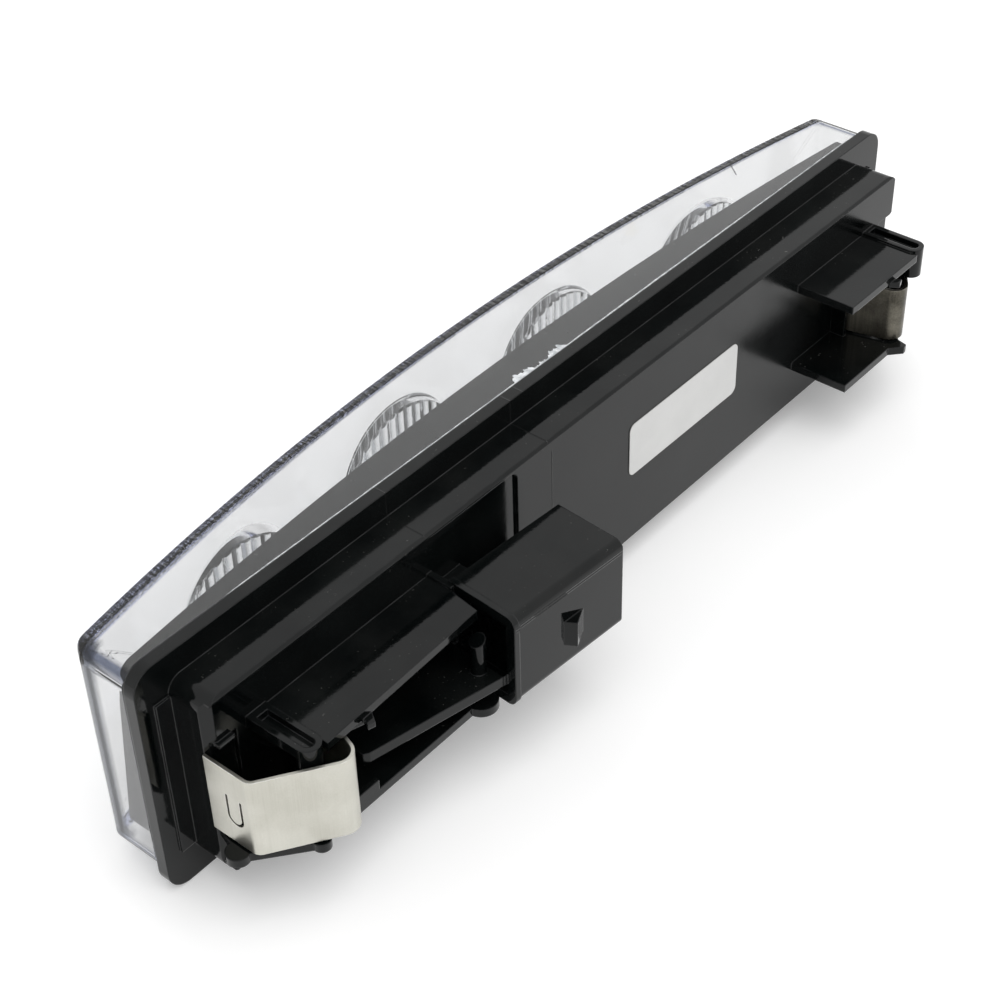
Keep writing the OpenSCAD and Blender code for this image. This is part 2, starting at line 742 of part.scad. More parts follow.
// A pan head screw along Y, with a cross slot, whose head sits on the face at y
module pan_screw(x, z, y, l) {
    head_r = screw_r * 1.9;
    head_t = screw_r * 1.1;
    difference() {
        union() {
            post_y(x, z, head_r, y - head_t, y);
            post_y(x, z, screw_r, y - head_t / 2, y + l);
        }
        for (a = [0, 90]) translate([x, y - head_t, z]) rotate([0, a, 0])
            cube([head_r * 1.2, head_t, head_r * 0.25], center = true);
    }
}

module reflector_screws() {
    color([0.62, 0.63, 0.65]) for (side = [-1, 1]) {
        pan_screw(side * end_screw_x(), rim_mid, reflector_seat_y(),
            floor_y - end_screw_floor - end_screw_clear - reflector_seat_y());
    }
}

module board_screws() {
    color([0.62, 0.63, 0.65]) for (p = screw_places())
        pan_screw(p[0], p[1], board_y, floor_y - board_y - 0.3);
}

module heat_spreader() {
    color([0.72, 0.73, 0.75]) difference() {
        translate([0, 0, rim_mid]) bar_y(board_l, board_h, 1.5, spreader_y, spreader_y + spreader_t);
        for (p = screw_places()) post_y(p[0], p[1], screw_r + 4 * fit, spreader_y - cut, floor_y);
        block([pin_x - 3, spreader_y - cut, pin_mid_z - pin_pitch / 2 - pin_w],
            [pin_x + 3, floor_y, pin_mid_z + pin_pitch / 2 + pin_w]);
    }
}

module led_board() {
    color([0.9, 0.9, 0.88]) difference() {
        translate([0, 0, rim_mid]) bar_y(board_l, board_h, 1.5, board_y, spreader_y);
        for (p = screw_places()) post_y(p[0], p[1], screw_r + 4 * fit, board_y - cut, floor_y);
        pin_holes();
    }
}

// One LED: a square package with a round dome
module led(i) {
    x = optic_xs[i];
    color([0.95, 0.85, 0.35]) {
        translate([0, 0, rim_mid]) block([x - led_w / 2, board_y - led_t, -led_w / 2],
            [x + led_w / 2, board_y, led_w / 2]);
        intersection() {
            translate([x, board_y - led_t, rim_mid]) sphere(led_dome_r);
            block([x - led_w, board_y - led_w, rim_mid - led_w],
                [x + led_w, board_y - led_t / 2, rim_mid + led_w]);
        }
    }
}

module driver_chip() {
    leg = 0.3 * leg_pitch;
    reach = chip_h / 2 + 2 * leg;
    color([0.1, 0.1, 0.11]) translate([0, board_y, rim_mid + board_h / 2 - chip_edge]) {
        block([-chip_l / 2, -chip_t, -chip_h / 2], [chip_l / 2, 0, chip_h / 2]);
        for (i = [-1.5:1.5])
            block([i * leg_pitch - leg / 2, -leg, -reach], [i * leg_pitch + leg / 2, 0, reach]);
    }
}

module driver_coil() {
    disc_t = 0.22 * coil_t;
    z = rim_mid - 0.75 * coil_r;
    color([0.2, 0.2, 0.22]) {
        post_y(0, z, coil_r, board_y - disc_t, board_y);
        post_y(0, z, 0.7 * coil_r, board_y - coil_t + disc_t / 2, board_y - disc_t / 2);
        post_y(0, z, coil_r, board_y - coil_t, board_y - coil_t + disc_t);
    }
}

module driver_capacitors() {
    color([0.35, 0.36, 0.4]) for (side = [-1, 1]) {
        post_y(-optic_pitch, rim_mid + side * 1.3 * can_r, can_r, board_y - can_t, board_y);
    }
}

module driver_diode() {
    x = diode_gap - optic_pitch;
    top_z = rim_mid - screw_rows / 2 + 2.4;
    color([0.12, 0.12, 0.13])
        block([x - diode_l, board_y - diode_t, top_z - diode_h], [x, board_y, top_z]);
}

module driver_resistors() {
    color([0.15, 0.15, 0.16]) for (i = [-2.5:2.5])
        translate([i * resistor_pitch - resistor_l / 2, board_y - resistor_t, rim_mid - board_h * 0.4])
            cube([resistor_l, resistor_t, resistor_h]);
}

module supply_pin() {
    color([0.8, 0.66, 0.32]) pin_blade(pin_mid_z + pin_pitch / 2, 0);
}

module ground_pin() {
    color([0.8, 0.66, 0.32]) pin_blade(pin_mid_z - pin_pitch / 2, 0);
}

// Angle of the line from a to b
function heading(a, b) = atan2(b[1] - a[1], b[0] - a[0]);
// Left turn at b on the way from a to c
function turn_at(a, b, c) = (heading(b, c) - heading(a, b) + 360) % 360;
// How much of each straight the bend at b takes up
function bend_reach(a, b, c, r) = r * tan(turn_at(a, b, c) / 2);

// A strip bent to the left round the corner b of a path, seen from above
module strip_bend(a, b, c, r) {
    h0 = heading(a, b);
    turn = turn_at(a, b, c);
    middle = b - bend_reach(a, b, c, r) * [cos(h0), sin(h0)] + r * [-sin(h0), cos(h0)];
    translate(middle) intersection() {
        difference() {
            circle(r + clip_t / 2);
            circle(r - clip_t / 2);
        }
        polygon(concat([[0, 0]],
            [for (i = [0:3]) 4 * r * [sin(h0 + i * turn / 3), -cos(h0 + i * turn / 3)]]));
    }
}

// A straight stretch of strip from a to b, shortened at each end
module strip_run(a, b, short_a, short_b) {
    lap = 0.02;
    translate(a) rotate([0, 0, heading(a, b)]) translate([short_a - lap, -clip_t / 2])
        square([norm(b - a) - short_a - short_b + 2 * lap, clip_t]);
}

// A spring clip seen from above: a flat stretch, a slope up to the crest and a leg down to the seat
module clip_plan(a, b, c, seat_y) {
    d = [clip_foot_x, seat_y + 0.15];
    outer_r = clip_bend_r + clip_t / 2;
    crest_r = clip_crest_r + clip_t / 2;
    reach_b = bend_reach(a, b, c, outer_r);
    reach_c = bend_reach(b, c, d, crest_r);
    strip_run(a, b, 0, reach_b);
    strip_bend(a, b, c, outer_r);
    strip_run(b, c, reach_b, reach_c);
    strip_bend(b, c, d, crest_r);
    strip_run(c, d, reach_c, 0);
}

// The U shaped slot that frees the locking tongue
module tongue_slot() {
    slot = 0.5;
    mid_y = clip_start_y + tongue_set;
    low_z = -2.2;
    through = 2 * cut + clip_t;
    translate([body_l / 2 - cut, mid_y, low_z]) {
        for (side = [-1, 1])
            translate([0, side * tongue_w / 2 - slot / 2, 0]) cube([through, slot, tongue_l]);
        rotate([0, 90, 0]) difference() {
            cylinder(r = tongue_w / 2 + slot / 2, h = through);
            translate([0, 0, -cut]) cylinder(r = tongue_w / 2 - slot / 2, h = through + 2 * cut);
            translate([-2 * tongue_w, -tongue_w, -cut])
                cube([2 * tongue_w, 2 * tongue_w, through + 2 * cut]);
        }
    }
}

module near_clip() {
    flat_x = body_l / 2 + clip_t / 2;
    color([0.8, 0.8, 0.78]) difference() {
        plate_z(-clip_half, clip_half)
            clip_plan([flat_x, clip_start_y], [flat_x, clip_bend_y], [clip_crest_x, clip_crest_y],
                body_d - recess_d);
        tongue_slot();
    }
}

module far_clip() {
    flat_x = body_l / 2 + clip_t / 2;
    color([0.8, 0.8, 0.78]) mirror([1, 0, 0]) plate_z(-clip_half, far_clip_w - clip_half)
        clip_plan([flat_x - 1.2, body_d - notch_d + 0.15],
            [flat_x - far_press, clip_bend_y - 0.9 * far_press],
            [clip_crest_x - 0.7 * far_press, clip_crest_y - far_press], body_d);
}

module label() {
    color([0.93, 0.93, 0.92]) translate([-label_x, 0, label_z])
        bar_y(label_l, label_h, 1.6, body_d, body_d + label_t);
}

housing();
outer_lens();
lens_seal();
reflector();
reflector_screws();
led_board();
heat_spreader();
board_screws();
led(0);  // led_1
led(1);  // led_2
led(2);  // led_3
led(3);  // led_4
driver_chip();
driver_coil();
driver_capacitors();
driver_diode();
driver_resistors();
supply_pin();
ground_pin();
near_clip();
far_clip();
label();
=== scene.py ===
import math

import bmesh
import bpy
import numpy as np
from mathutils import Matrix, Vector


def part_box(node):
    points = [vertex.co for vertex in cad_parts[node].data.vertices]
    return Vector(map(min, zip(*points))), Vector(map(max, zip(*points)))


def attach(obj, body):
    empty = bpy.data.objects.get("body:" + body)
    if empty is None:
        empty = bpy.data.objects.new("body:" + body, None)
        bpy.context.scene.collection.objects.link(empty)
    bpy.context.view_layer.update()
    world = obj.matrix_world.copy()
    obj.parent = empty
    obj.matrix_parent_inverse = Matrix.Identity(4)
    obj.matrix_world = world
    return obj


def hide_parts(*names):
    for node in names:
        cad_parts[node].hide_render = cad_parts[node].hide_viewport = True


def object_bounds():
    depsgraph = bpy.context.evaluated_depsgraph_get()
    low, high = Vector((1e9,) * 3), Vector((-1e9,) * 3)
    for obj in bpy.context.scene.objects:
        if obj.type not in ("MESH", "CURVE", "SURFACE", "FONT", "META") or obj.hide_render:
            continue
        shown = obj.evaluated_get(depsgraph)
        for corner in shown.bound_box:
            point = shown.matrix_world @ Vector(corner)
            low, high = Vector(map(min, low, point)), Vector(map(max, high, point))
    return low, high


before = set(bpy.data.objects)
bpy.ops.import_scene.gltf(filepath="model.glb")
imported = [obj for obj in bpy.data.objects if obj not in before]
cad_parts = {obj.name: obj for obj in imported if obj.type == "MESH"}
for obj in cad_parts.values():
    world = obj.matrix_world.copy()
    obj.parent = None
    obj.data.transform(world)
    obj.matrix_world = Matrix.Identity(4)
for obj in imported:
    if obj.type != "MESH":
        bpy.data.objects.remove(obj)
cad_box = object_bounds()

# Camera
# The lamp is seen from behind its near end, from 39 degrees above, through a 71 mm lens on a 36 mm sensor.
# The bearing, distance and roll were worked out from the lamp's outline in the photograph.
camera_bearing, camera_height, camera_roll = (math.radians(a) for a in (130.849, 39.352, -1.739))
camera_distance = 0.387864
camera_aside, camera_up = -0.011765, -0.008164
camera_sensor, camera_lens = 36, 71.281
nearest_seen, farthest_seen = 0.01, 20
flange_thickness = 0.00256


def level_axes(outward):
    """Two directions for one who looks against outward: level to the right, and up, square to both others."""
    right = np.cross(-outward, [0, 0, 1])
    right /= np.linalg.norm(right)
    return right, np.cross(right, -outward)


def stand(name, data, right, up, outward, place):
    """Puts a camera or a lamp into the scene at its place, turned by its three axes."""
    axes = np.column_stack([right, up, outward])
    made = bpy.data.objects.new(name, data)
    made.matrix_world = Matrix([[*row, at] for row, at in zip(axes, place)] + [[0, 0, 0, 1]])
    bpy.context.scene.collection.objects.link(made)
    return made


to_camera = np.array([math.sin(camera_bearing) * math.cos(camera_height),
                      -math.cos(camera_bearing) * math.cos(camera_height), math.sin(camera_height)])
level_right, level_up = level_axes(to_camera)
picture_right = math.cos(camera_roll) * level_right + math.sin(camera_roll) * level_up
picture_up = math.cos(camera_roll) * level_up - math.sin(camera_roll) * level_right
eye = (to_camera * camera_distance + camera_aside * picture_right + camera_up * picture_up
       - np.array([0, flange_thickness, 0]))

camera_data = bpy.data.cameras.new("camera")
camera_data.sensor_width, camera_data.lens = camera_sensor, camera_lens
camera_data.clip_start, camera_data.clip_end = nearest_seen, farthest_seen
camera = stand("camera", camera_data, picture_right, picture_up, to_camera, eye)
bpy.context.scene.camera = camera
bpy.context.scene.view_settings.view_transform = "Standard"


# Studio
# A wide flat floor out to a plain white surround, with two soft boxes over it. Rays from the camera, and rays
# that gloss or glass sends on, see the surround as plain white, so the shine on black stays even.
white = (1, 1, 1, 1)
surround_light = 0.62
floor_colour = (0.86, 0.86, 0.86, 1)
floor_half, floor_gap = 3.0, 0.0002
glow_near, glow_far = 0.24, 0.55
near_reach, far_reach = 0.25, 1.1


def add(tree, kind, inputs=(), **settings):
    """One shader node in a tree, with its settings, and its inputs as values or as sockets that feed them."""
    made = tree.nodes.new("ShaderNode" + kind)
    for name, value in settings.items():
        setattr(made, name, value)
    for name, value in dict(inputs).items():
        if isinstance(value, bpy.types.NodeSocket):
            tree.links.new(value, made.inputs[name])
        else:
            made.inputs[name].default_value = value
    return made


def math_node(tree, operation, first, second=0.0):
    """One sum, product or other operation on two values."""
    return add(tree, "Math", {0: first, 1: second}, operation=operation).outputs[0]


def ranged(tree, value, low, high, to_low=0.0, to_high=1.0):
    """A value taken from the range low to high to the range to_low to to_high, and kept within it."""
    return add(tree, "MapRange", {"Value": value, "From Min": low, "From Max": high,
                                  "To Min": to_low, "To Max": to_high}).outputs[0]


def here(tree):
    """The place on the piece, in Object coordinates."""
    return add(tree, "TexCoord").outputs["Object"]


def reach(tree, vector):
    """The length of a vector."""
    return add(tree, "VectorMath", {0: vector}, operation="LENGTH").outputs["Value"]


def seen_directly(tree):
    """A value of 1 for rays from the camera, from gloss and from glass, and 0 for the rest."""
    path = add(tree, "LightPath").outputs
    either = math_node(tree, "MAXIMUM", path["Is Camera Ray"], path["Is Glossy Ray"])
    return math_node(tree, "MAXIMUM", either, path["Is Transmission Ray"])


def new_finish(name, **constants):
    """A material with its Principled shader, and that shader's plain values; underscores stand for spaces."""
    made = bpy.data.materials.new(name)
    made.use_nodes = True
    shader = made.node_tree.nodes["Principled BSDF"]
    for socket, value in constants.items():
        shader.inputs[socket.replace("_", " ")].default_value = value
    return made, made.node_tree, shader.inputs


world = bpy.data.worlds.new("surround")
bpy.context.scene.world = world
world.use_nodes = True
surround = world.node_tree
surround.nodes["Background"].inputs["Color"].default_value = white
surround.links.new(ranged(surround, seen_directly(surround), 0.0, 1.0, surround_light, 1.0),
                   surround.nodes["Background"].inputs["Strength"])

floor_finish, floor_tree, floor_in = new_finish("studio floor", Base_Color=floor_colour, Roughness=0.9,
                                                Specular_IOR_Level=0.0, Emission_Color=white)
floor_reach = reach(floor_tree, here(floor_tree))
floor_glow = ranged(floor_tree, floor_reach, near_reach, far_reach, glow_near, glow_far)
floor_tree.links.new(math_node(floor_tree, "MULTIPLY", seen_directly(floor_tree), floor_glow),
                     floor_in["Emission Strength"])

floor_z = cad_box[0].z - floor_gap
floor_corners = [(x * floor_half, y * floor_half, floor_z) for x, y in ((-1, -1), (1, -1), (1, 1), (-1, 1))]
floor_mesh = bpy.data.meshes.new("studio_floor")
floor_mesh.from_pydata(floor_corners, [], [(0, 1, 2, 3)])
floor_mesh.materials.append(floor_finish)
studio_floor = bpy.data.objects.new("studio_floor", floor_mesh)
bpy.context.scene.collection.objects.link(studio_floor)

for name, place, size, power in (("soft_box_over", (0.1, 0.35, 0.9), 0.9, 5.4),
                                 ("soft_box_front", (-0.5, -0.8, 0.7), 0.8, 2.6)):
    box_light = bpy.data.lights.new(name, "AREA")
    box_light.shape, box_light.size, box_light.energy = "SQUARE", size, power
    to_light = np.array(place) / np.linalg.norm(place)
    soft_box = stand(name, box_light, *level_axes(to_light), to_light, place)
    soft_box.visible_glossy = soft_box.visible_transmission = False


# Housing
# One moulding in glossy black plastic: flange, rear box, front rim, both clip shrouds and the plug socket.
# It comes from a polished tool, so it mirrors its surroundings, with fine flow marks, rounded edges, the
# witness lines of the tool's inserts and a little dust on what faces up.
mm = 0.001
black_deep, black_light = (0.0010, 0.0016, 0.0017, 1), (0.0030, 0.0040, 0.0040, 1)
black_rubbed = (0.05, 0.052, 0.055, 1)
dust_colour = (0.30, 0.30, 0.28, 1)
edge_radius = 0.00035
rear_face_from, rear_face_to, rear_face_satin = 8.6 * mm, 9.0 * mm, 0.13
line_middle, line_edge = 0.00006, 0.00016
patch_share, mix_low, mix_high = 0.8, 0.36, 0.64
grain_height = 0.00006


def new_group(name, ins, outs):
    """An empty node group with named inputs (socket type, value) and outputs (socket type)."""
    tree = bpy.data.node_groups.new(name, "ShaderNodeTree")
    for socket, (kind, value) in ins.items():
        made = tree.interface.new_socket(socket, in_out="INPUT", socket_type="NodeSocket" + kind)
        made.default_value = value
    for socket, kind in outs.items():
        tree.interface.new_socket(socket, in_out="OUTPUT", socket_type="NodeSocket" + kind)
    return tree, tree.nodes.new("NodeGroupInput").outputs, tree.nodes.new("NodeGroupOutput").inputs


def noise(tree, scale, detail, place=None):
    """Soft random patches, about scale of them in a metre, on a given place or on Object coordinates."""
    place = here(tree) if place is None else place
    return add(tree, "TexNoise", {"Vector": place, "Scale": scale, "Detail": detail}).outputs["Fac"]


def blended(tree, share, first, second):
    """The colour that lies at share between two colours."""
    mix = add(tree, "Mix", data_type="RGBA")
    for index, value in ((0, share), (6, first), (7, second)):
        if isinstance(value, bpy.types.NodeSocket):
            tree.links.new(value, mix.inputs[index])
        else:
            mix.inputs[index].default_value = value
    return mix.outputs[2]


def product(tree, *values):
    """All the values multiplied together."""
    total = values[0]
    for value in values[1:]:
        total = math_node(tree, "MULTIPLY", total, value)
    return total


def apart(tree, value, middle):
    """How far a value lies from a middle one, either way."""
    return math_node(tree, "ABSOLUTE", math_node(tree, "SUBTRACT", value, middle))


def bump(tree, height, strength, distance, normal=None):
    """A normal tilted by a height, laid over a normal that is given or over the surface's own."""
    ins = {"Height": height, "Strength": strength, "Distance": distance}
    if normal is not None:
        ins["Normal"] = normal
    return add(tree, "Bump", ins).outputs[0]


# Slow changes of colour and gloss over a surface, and a fine grain that lies over the rounded edges
mottle, m_in, m_out = new_group(
    "mottled surface",
    {"Patch Scale": ("Float", 60.0), "Grain Scale": ("Float", 900.0), "Grain Depth": ("Float", 0.1),
     "Dark": ("Color", (0, 0, 0, 1)), "Light": ("Color", (1, 1, 1, 1)),
     "Smooth": ("Float", 0.1), "Rough": ("Float", 0.3), "Edge Radius": ("Float", 0.0002)},
    {"Colour": "Color", "Roughness": "Float", "Normal": "Vector"})
m_place = here(mottle)
m_patch = noise(mottle, m_in["Patch Scale"], 4.0, m_place)
m_fine = noise(mottle, m_in["Grain Scale"], 3.0, m_place)
m_both = math_node(mottle, "ADD", product(mottle, m_patch, patch_share),
                   product(mottle, m_fine, 1 - patch_share))
m_share = ranged(mottle, m_both, mix_low, mix_high)
mottle.links.new(blended(mottle, m_share, m_in["Dark"], m_in["Light"]), m_out["Colour"])
mottle.links.new(ranged(mottle, m_both, mix_low, mix_high, m_in["Smooth"], m_in["Rough"]), m_out["Roughness"])
m_edge = add(mottle, "Bevel", {"Radius": m_in["Edge Radius"]}, samples=6).outputs[0]
mottle.links.new(bump(mottle, m_fine, m_in["Grain Depth"], grain_height, m_edge), m_out["Normal"])

# Where handling has dulled the corners: the rounded normal leaves the flat one there
wear, w_in, w_out = new_group("worn edges", {"Radius": ("Float", 0.0004), "Patch Scale": ("Float", 300.0)},
                              {"Mask": "Float"})
w_round = add(wear, "Bevel", {"Radius": w_in["Radius"]}, samples=6).outputs[0]
w_flat = add(wear, "NewGeometry").outputs["Normal"]
w_same = add(wear, "VectorMath", {0: w_round, 1: w_flat}, operation="DOT_PRODUCT").outputs["Value"]
w_patch = noise(wear, w_in["Patch Scale"], 5.0)
w_worn = product(wear, ranged(wear, w_same, 0.995, 0.90), ranged(wear, w_patch, 0.42, 0.62))
wear.links.new(w_worn, w_out["Mask"])

# Dust and lint that settle on what faces up, in specks and in a thin veil
dust, d_in, d_out = new_group("settled dust", {"Veil": ("Float", 0.03), "Specks": ("Float", 0.5)},
                              {"Mask": "Float"})
d_up = add(dust, "SeparateXYZ", {0: add(dust, "NewGeometry").outputs["Normal"]}).outputs["Z"]
d_place = here(dust)
d_speck = noise(dust, 1400.0, 2.0, d_place)
d_cloud = noise(dust, 90.0, 5.0, d_place)
d_specks = product(dust, ranged(dust, d_speck, 0.70, 0.74), ranged(dust, d_cloud, 0.45, 0.65), d_in["Specks"])
d_veil = product(dust, ranged(dust, d_cloud, 0.4, 0.7), d_in["Veil"])
d_settled = math_node(dust, "ADD", d_specks, d_veil)
dust.links.new(product(dust, ranged(dust, d_up, -0.2, 0.7, 0.15, 1.0), d_settled), d_out["Mask"])


def use_group(tree, group, **values):
    """A node group placed in a material, with its own values; underscores stand for spaces."""
    made = tree.nodes.new("ShaderNodeGroup")
    made.node_tree = group
    for name, value in values.items():
        made.inputs[name.replace("_", " ")].default_value = value
    return made.outputs


def axes_of(tree, place=None):
    """A place, or else the place on the piece, as three values under X, Y and Z."""
    return add(tree, "SeparateXYZ", {0: here(tree) if place is None else place}).outputs


def between(tree, value, low, high):
    """1 where a value lies between low and high, and 0 elsewhere."""
    above = math_node(tree, "GREATER_THAN", value, low)
    return product(tree, above, math_node(tree, "LESS_THAN", value, high))


def feed(tree, ins, look, colour=None, roughness=None, normal=None):
    """Links a look's colour, roughness and normal to the shader, or what is given in the place of each."""
    for socket, own, name in (("Base Color", colour, "Colour"), ("Roughness", roughness, "Roughness"),
                              ("Normal", normal, "Normal")):
        tree.links.new(look[name] if own is None else own, ins[socket])


def dress(node, finish):
    """Puts a finish on a CAD node's material slots."""
    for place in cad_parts[node].material_slots:
        place.material = finish


def witness_line(tree, axes, line, low, high):
    """Height of a fine line that stands across one axis at a place, kept above low and below high, which are
    each an axis and a place on it in millimetres."""
    near = ranged(tree, apart(tree, axes[line[0]], line[1] * mm), line_middle, line_edge, 1.0, 0.0)
    above = math_node(tree, "GREATER_THAN", axes[low[0]], low[1] * mm)
    below = math_node(tree, "LESS_THAN", axes[high[0]], high[1] * mm)
    return product(tree, near, above, below)


moulded, black_tree, black_in = new_finish("glossy black moulding", IOR=1.5, Specular_IOR_Level=0.28)
black = use_group(black_tree, mottle, Patch_Scale=70.0, Grain_Scale=1500.0, Grain_Depth=0.10, Dark=black_deep,
                  Light=black_light, Smooth=0.04, Rough=0.11, Edge_Radius=edge_radius)
black_dust = use_group(black_tree, dust, Veil=0.015, Specks=0.22)["Mask"]
black_wear = use_group(black_tree, wear, Radius=edge_radius, Patch_Scale=260.0)["Mask"]
worn_black = blended(black_tree, product(black_tree, black_wear, 0.35), black["Colour"], black_rubbed)
black_axes = axes_of(black_tree)
rear_face = between(black_tree, black_axes["Y"], rear_face_from, rear_face_to)
satin = math_node(black_tree, "ADD", product(black_tree, black_dust, 0.5),
                  product(black_tree, rear_face, rear_face_satin))
lines = 0.0
for line, low, high in ((("X", 16.7), ("Z", 4), ("Z", 17.6)), (("X", 51.5), ("Z", 19.8), ("Y", 8.8)),
                        (("X", 17.8), ("Z", 19.8), ("Y", 8.8)), (("X", 14.2), ("Z", 25.2), ("Y", 0)),
                        (("Z", 9.4), ("Y", 26), ("X", 51)), (("Z", 8.8), ("Y", 26), ("X", 51))):
    lines = math_node(black_tree, "ADD", witness_line(black_tree, black_axes, line, low, high), lines)
flow_bump = bump(black_tree, noise(black_tree, 26.0, 1.5), 0.30, 0.0006, black["Normal"])
feed(black_tree, black_in, black, colour=blended(black_tree, black_dust, worn_black, dust_colour),
     roughness=math_node(black_tree, "ADD", black["Roughness"], satin),
     normal=bump(black_tree, lines, 0.6, 0.0002, flow_bump))
dress("housing", moulded)


# Adhesive bead
# The lens stands in a dark grey bead of adhesive on the flange. A little of it has been squeezed out along
# the upper edge as a thin, uneven thread, whose pale colour is a painted highlight: it stands in for the
# glint along the cover's foot. Some more was dragged a little way over the cover's top wall, as a ragged
# smear in the same pale finish.
bead_dark, bead_light = (0.020, 0.021, 0.022, 1), (0.050, 0.051, 0.053, 1)
# The thread's pale colours are a painted highlight for the glint along the cover's foot.
thread_painted_glint_dark, thread_painted_glint_light = (0.42, 0.44, 0.46, 1), (0.82, 0.84, 0.86, 1)
thread_radius, thread_taper = 0.00017, 0.004
thread_from_x, thread_to_x = -0.104, 0.086
thread_inward, thread_lift = 0.00085, 0.00006
thread_even, thread_wave, thread_rates = 0.78, 0.20, (900, 377)
thread_bulge, bulge_x, bulge_width = 0.45, -0.030, 0.03
thread_steps, thread_sides = 700, 10
smear_from_x, smear_to_x, smear_width = -0.0045, 0.0120, 0.0021
smear_inward, smear_lift, smear_height, smear_thin = 0.0008, 0.00005, 0.00006, 0.0004
smear_even, smear_least, smear_taper = 0.45, 0.06, 12
smear_waves = ((0.30, 9.0, 0.6), (0.16, 31.0, 0.0), (0.10, 83.0, 0.0), (0.06, 190.0, 0.0))
smear_steps, smear_sides = 260, 14
sharp_angle = math.radians(40)
seal_low, seal_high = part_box("lens_seal")


def mottled_finish(name, constants, **look):
    """A finish that is a mottled surface and nothing more, from the shader's plain values and the look's."""
    made, tree, ins = new_finish(name, **constants)
    feed(tree, ins, use_group(tree, mottle, **look))
    return made


def new_piece(name, points, finish, around=False, along=False):
    """A mesh from a grid of points (rows along, columns around), with its last column or row joined to the
    first where it closes, smooth, at the origin, riding on the lamp."""
    rows, columns = points.shape[:2]
    index = np.arange(rows * columns).reshape(rows, columns)
    if around:
        index = np.concatenate([index, index[:, :1]], axis=1)
    if along:
        index = np.concatenate([index, index[:1]], axis=0)
    faces = np.stack([index[:-1, :-1], index[:-1, 1:], index[1:, 1:], index[1:, :-1]], axis=-1).reshape(-1, 4)
    mesh = bpy.data.meshes.new(name)
    mesh.from_pydata(points.reshape(-1, 3).tolist(), [], faces.tolist())
    work = bmesh.new()
    work.from_mesh(mesh)
    bmesh.ops.remove_doubles(work, verts=work.verts, dist=1e-7)
    bmesh.ops.recalc_face_normals(work, faces=work.faces)
    work.to_mesh(mesh)
    work.free()
    mesh.polygons.foreach_set("use_smooth", np.ones(len(mesh.polygons), bool))
    mesh.set_sharp_from_angle(angle=sharp_angle)
    mesh.materials.append(finish)
    made = bpy.data.objects.new(name, mesh)
    bpy.context.scene.collection.objects.link(made)
    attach(made, "root")
    return made


def tube(path, radius, sides):
    """Points of a round tube: path + radius * (cos a * side + sin a * over), with side and over square to the
    path's direction. radius may change along the path; it ends in a point where it is 0."""
    direction = np.gradient(path, axis=0)
    direction /= np.linalg.norm(direction, axis=1, keepdims=True)
    side = np.cross(direction, [0.0, 0.0, 1.0])
    side /= np.linalg.norm(side, axis=1, keepdims=True)
    over = np.cross(side, direction)
    a = np.linspace(0, 2 * np.pi, sides, endpoint=False)[None, :, None]
    return path[:, None] + np.broadcast_to(radius, len(path))[:, None, None] * (
        np.cos(a) * side[:, None] + np.sin(a) * over[:, None])


def thread_size(x):
    """The thread's thickness along X as a share of its radius: an even part, two waves multiplied together,
    and a bell shaped swelling, exp(-((x - x0) / w)^2), all of it tapered at both ends."""
    waves = np.sin(x * thread_rates[0]) * np.sin(x * thread_rates[1] + 1)
    swell = thread_even + thread_wave * waves + thread_bulge * np.exp(-((x - bulge_x) / bulge_width) ** 2)
    return swell * np.clip(np.minimum(x - thread_from_x, thread_to_x - x) / thread_taper, 0, 1)


def ragged_smear(steps, sides):
    """A thin uneven sheet on the cover's top wall: for each place along X a flat oval section, whose width is
    an even part and a sum of sines, and falls to nothing at both ends."""
    x = np.linspace(smear_from_x, smear_to_x, steps)
    share = (x - smear_from_x) / (smear_to_x - smear_from_x)
    ragged = sum((size * np.sin(share * rate + shift) for size, rate, shift in smear_waves), smear_even)
    ends = np.clip(np.minimum(share, 1 - share) * smear_taper, 0, 1)
    width = smear_width * np.clip(ragged, smear_least, 1) * ends
    a = np.linspace(0, 2 * np.pi, sides, endpoint=False)[None]
    y = seal_low.y - smear_inward - width[:, None] * (0.5 - 0.5 * np.cos(a))
    thick = np.clip(width[:, None] / smear_thin, 0, 1)
    z = seal_high.z + smear_lift + smear_height * np.sin(a) * thick
    return np.stack([np.broadcast_to(x[:, None], y.shape), y, z], axis=-1)


dress("lens_seal", mottled_finish(
    "set adhesive", {"IOR": 1.45}, Patch_Scale=180.0, Grain_Scale=800.0, Grain_Depth=0.6, Dark=bead_dark,
    Light=bead_light, Smooth=0.35, Rough=0.6, Edge_Radius=0.0001))
# Pale finish of the thread and the smear; on the thread it is a painted highlight.
adhesive_and_glint_finish = mottled_finish(
    "squeezed out adhesive with painted glint", {"IOR": 1.45}, Patch_Scale=700.0, Grain_Scale=2500.0, Grain_Depth=0.4,
    Dark=thread_painted_glint_dark, Light=thread_painted_glint_light, Smooth=0.15, Rough=0.4, Edge_Radius=0.0)

thread_x = np.linspace(thread_from_x, thread_to_x, thread_steps)
thread_path = np.column_stack([thread_x, np.full(thread_steps, seal_low.y - thread_inward),
                               np.full(thread_steps, seal_high.z + thread_lift)])
for name, points in (
        ("adhesive_thread_painted_glint", tube(thread_path, thread_radius * thread_size(thread_x), thread_sides)),
        ("adhesive_smear", ragged_smear(smear_steps, smear_sides))):
    squeezed_out = new_piece(name, points, adhesive_and_glint_finish, around=True)
